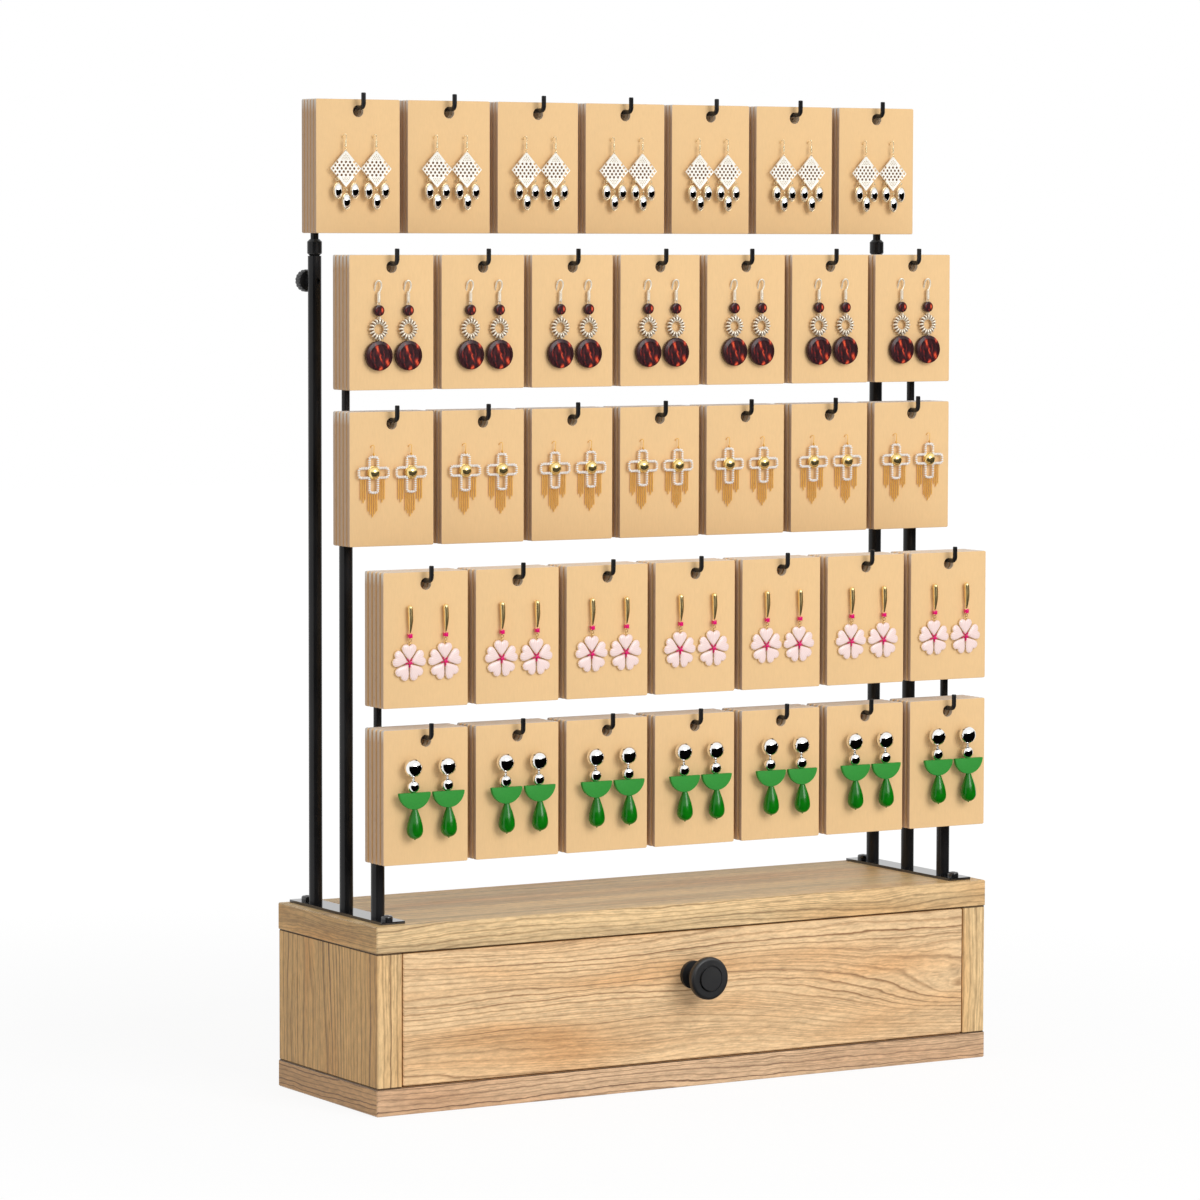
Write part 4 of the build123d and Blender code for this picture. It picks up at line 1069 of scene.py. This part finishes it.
def makeFringes():
    strands = []
    step, link = fringe["step"], fringe["link"]
    for middle, top, ends in fringe["groups"]:
        for shift, end in zip(rowOfPlaces(len(ends), fringe["strandStep"]), ends):
            links = [addBlock(crossSpot(middle + shift, fringe["out"], top + link[2] / 2 + place * step), link,
                              (0, 0, turn)) for place, turn in enumerate(fringe["turns"])]
            strand = gather(links)  # square links, every other one turned
            repeatAlong(strand, int((end - top) / step / 2), (0, 0, -2 * step * mm))
            strands.append(applyModifiers(strand))
    finishPairs(strands, "crossFringes", 3, "row_3_fringes", ["chainGold"], 0)


makeCrosses()
makeFringes()
print("stage: row 3 earrings")

# row 4: slender bars, square gems and five-petal flowers
slim = {"out": 2.3, "top": 17.7, "length": 15.0, "width": 2.9, "bow": 0.4, "round": 0.10, "taperFrom": 0.48,
        "tip": 0.34, "fall": 1.4, "post": 0.8, "postPlace": (0.2, 0.3, 2.6), "loop": (0.85, 0.24), "loopDrop": 36.6,
        "link": (0.75, 0.22), "linkBack": 0.3, "linkDrop": 38.3}
gem = {"drop": 34.2, "size": (2.3, 2.0, 2.3), "table": 0.5, "tableRise": 0.4, "edge": 0.12, "claw": (0.6, 0.9, 0.6),
       "clawPlace": 1.0922, "clawOut": 0.7}
flower = {"drop": 48.7, "petals": 5, "back": 0.5, "wall": 1.0, "crown": ((0.90, 0.36), (0.76, 0.30), (0.55, 0.12)),
          "middle": 6.3, "root": 0.9, "notch": 8.9, "mapMiddle": 5.4, "mapWidth": 10.0,
          "half": ((1.7, 0.65), (3.3, 1.95), (5.0, 3.30), (6.6, 4.25), (7.9, 4.50), (9.1, 3.95), (9.85, 2.90),
                   (10.0, 1.80), (9.7, 0.85))}
star = {"ray": (1.0, 2.9, 1.2), "tip": 0.12, "edge": 0.1, "reach": 1.7, "heart": (2.2, 1.5, 2.2), "heartOut": 0.3,
        "out": 2.2}


def makeSlimBars():
    out, top, length, width = slim["out"], slim["top"], slim["length"], slim["width"]
    bar = addBall(spot(4, 0, out, top + length / 2), (width, width, length), 14, 18)

    def radiusAt(share):
        if share < slim["round"]:
            return width / 2 * math.sqrt(max(0.0, 1 - (1 - share / slim["round"]) ** 2))
        past = max(0.0, share - slim["taperFrom"]) / (1 - slim["taperFrom"])
        return width / 2 * (1 - (1 - slim["tip"]) * past ** slim["fall"])

    across, back, lower = slim["postPlace"]
    parts = [turned(bar, spot(4, 0, out, top), length, radiusAt, lambda share: slim["bow"] * math.sin(math.pi * share)),
             addPin(spot(4, across, out / 2 - back, top + lower), slim["post"], out, 8),
             addHoop(spot(4, 0, out, slim["loopDrop"]), *slim["loop"], steps=(14, 6)),
             addHoop(spot(4, 0, out - slim["linkBack"], slim["linkDrop"]), *slim["link"], sideways)]
    for z in (-gem["clawPlace"], gem["clawPlace"]):  # claws that hold the gem
        for x in (-gem["clawPlace"], gem["clawPlace"]):
            parts.append(addBall(spot(4, x, out + gem["clawOut"], gem["drop"] + z), gem["claw"], 8, 6))
    finishPairs(parts, "slimBars", 4, "row_4_slim_bars", ["warmGold"])


def makeFlowers():
    centre = spot(4, 0, flower["back"], flower["drop"])
    half = flower["half"]
    outline = [(flower["root"], 0.0), *half, (flower["notch"], 0.0), *((p, -q) for p, q in reversed(half))]
    petal = addSheet(centre, len(outline), 1, 1)
    for point, (along, side) in zip(petal.data.vertices, outline):
        point.co = (centre[0] - side * mm, centre[1], centre[2] + along * mm)
    pickFaces(petal, lambda face: True)
    pushForward(flower["wall"])
    middle = (centre[0], centre[1], centre[2] + flower["middle"] * mm)
    for share, rise in flower["crown"]:  # rings that draw in towards the petal's middle
        pushForward(rise)
        bpy.ops.transform.resize(value=(share, 1, share), center_override=middle)
    closeEdit()
    recalculate(petal)
    cover(petal, ["petalEnamel", "champagneWire"],
          lambda face: 1 if abs(face.normal.y) < 0.3 or face.normal.y > 0.5 else 0)
    flatUv(petal, (centre[0], 0, centre[2] + flower["mapMiddle"] * mm), flower["mapWidth"] * mm)
    spinCopies(petal, flower["petals"], centre)
    finishPairs([petal], "flowerPetals", 4, "row_4_flowers", None, 50)


def makeFlowerHearts():
    centre = spot(4, 0, star["out"], flower["drop"])
    bpy.ops.mesh.primitive_cone_add(
        vertices=4, radius1=0.5, radius2=star["tip"], depth=1.0, rotation=toFront,
        location=(centre[0], centre[1], centre[2] - star["reach"] * mm))
    bpy.context.object.scale = inMetres(star["ray"])
    ray = settle(bpy.context.object)
    roundEdges(ray, lambda a, b: True, star["edge"], 1)
    spinCopies(ray, flower["petals"], centre)
    recalculate(ray)
    heart = addBall(spot(4, 0, star["out"] + star["heartOut"], flower["drop"]), star["heart"], 10, 6)
    stone = addBlock(spot(4, 0, slim["out"], gem["drop"]), gem["size"])
    pickFaces(stone, lambda face: face.normal.y < -0.9)
    bpy.ops.mesh.inset(thickness=gem["table"] * mm)
    bpy.ops.transform.translate(value=(0, -gem["tableRise"] * mm, 0))
    closeEdit()
    roundEdges(stone, lambda a, b: True, gem["edge"], 1)
    finishPairs([ray, heart, stone], "flowerHearts", 4, "row_4_flowers", ["magentaGem"], 20)


makeSlimBars()
makeFlowers()
makeFlowerHearts()
print("stage: row 4 earrings")

# row 5: mirror balls, half discs and drops
balls = {"out": 5.15, "large": (10.3, 8.2, 10.3), "largeDrop": 20.4, "medium": (7.0, 6.0, 6.9), "mediumDrop": 30.4,
         "between": 1.7, "betweenLower": 0.25, "loop": (0.75, 0.22), "loopRise": 0.55, "collar": (0.6, 0.2),
         "collarLower": 1.2, "post": (1.6, 1.6), "postOut": 0.4, "nut": (1.5, 0.4), "nutOut": 0.7}
halfDisc = {"radius": 9.7, "middle": 33.15, "top": 33.75, "thickness": 2.2, "edge": 0.3, "across": 0.6}
tear = {"across": 0.9, "top": 42.75, "length": 16.2, "width": 9.0, "neck": 2.9, "fall": 1.1, "tip": (0.9, 0.9, 0.8),
        "cap": (1.5, 1.5, 0.9), "endStep": 0.1}


def makeMirrorBalls():
    out, largeDrop, mediumDrop = balls["out"], balls["largeDrop"], balls["mediumDrop"]
    gap = (largeDrop + balls["large"][2] / 2 + mediumDrop - balls["medium"][2] / 2) / 2
    parts = [addBall(spot(5, 0, out, largeDrop), balls["large"], 36, 24),
             addBall(spot(5, 0, out, mediumDrop), balls["medium"], 30, 20),
             addBall(spot(5, 0, out, gap + balls["betweenLower"]), [balls["between"]] * 3, 12, 8),
             addHoop(spot(5, 0, out, gap - balls["loopRise"]), *balls["loop"], sideways),
             addHoop(spot(5, 0, out, gap + balls["collarLower"]), *balls["collar"], (0, 0, 0)),
             addPin(spot(5, 0, balls["postOut"], largeDrop), *balls["post"], 10),
             addHoop(spot(5, 0, balls["nutOut"], largeDrop), *balls["nut"], steps=(16, 6))]
    finishPairs(parts, "mirrorBalls", 5, "row_5_balls", ["mirrorSilver"])


def makeHalfDiscs():
    disc = addPin(spot(5, halfDisc["across"], balls["out"], halfDisc["middle"]), 2 * halfDisc["radius"],
                  halfDisc["thickness"], 64)
    sliceOff(disc, spot(5, 0, balls["out"], halfDisc["top"]), (0, 0, 1))
    soften = disc.modifiers.new("soften", "BEVEL")
    soften.width = halfDisc["edge"] * mm
    soften.segments = 2
    soften.limit_method = "ANGLE"
    soften.angle_limit = math.radians(50)
    recalculate(applyModifiers(disc))
    finishPairs([disc], "halfDiscs", 5, "row_5_drops", ["greenMatte"], 35)


def makeTearDrops():
    across, out, top = tear["across"], balls["out"], tear["top"]
    length, width, neck = tear["length"], tear["width"], tear["neck"]
    drop = addBall(spot(5, across, out, top + length / 2), (width, width, length), 28, 24)
    belly = 1 - width / 2 / length

    def radiusAt(share):
        if share < belly:
            return neck / 2 + (width - neck) / 2 * math.sin(math.pi / 2 * share / belly) ** tear["fall"]
        return width / 2 * math.sqrt(max(0.0, 1 - ((share - belly) / (1 - belly)) ** 2))

    parts = [turned(drop, spot(5, across, out, top), length, radiusAt),
             addBall(spot(5, across, out, top + length + tear["endStep"]), tear["tip"], 8, 6),
             addBall(spot(5, across, out, top - tear["endStep"]), tear["cap"], 12, 6)]
    finishPairs(parts, "tearDrops", 5, "row_5_drops", ["greenGloss"])


makeMirrorBalls()
makeHalfDiscs()
makeTearDrops()
print("stage: row 5 earrings")

faces = sum(len(face.vertices) - 2 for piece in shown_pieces() if "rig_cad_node" not in piece
            for face in piece.data.polygons)
print("stage: new pieces hold", faces, "triangles")
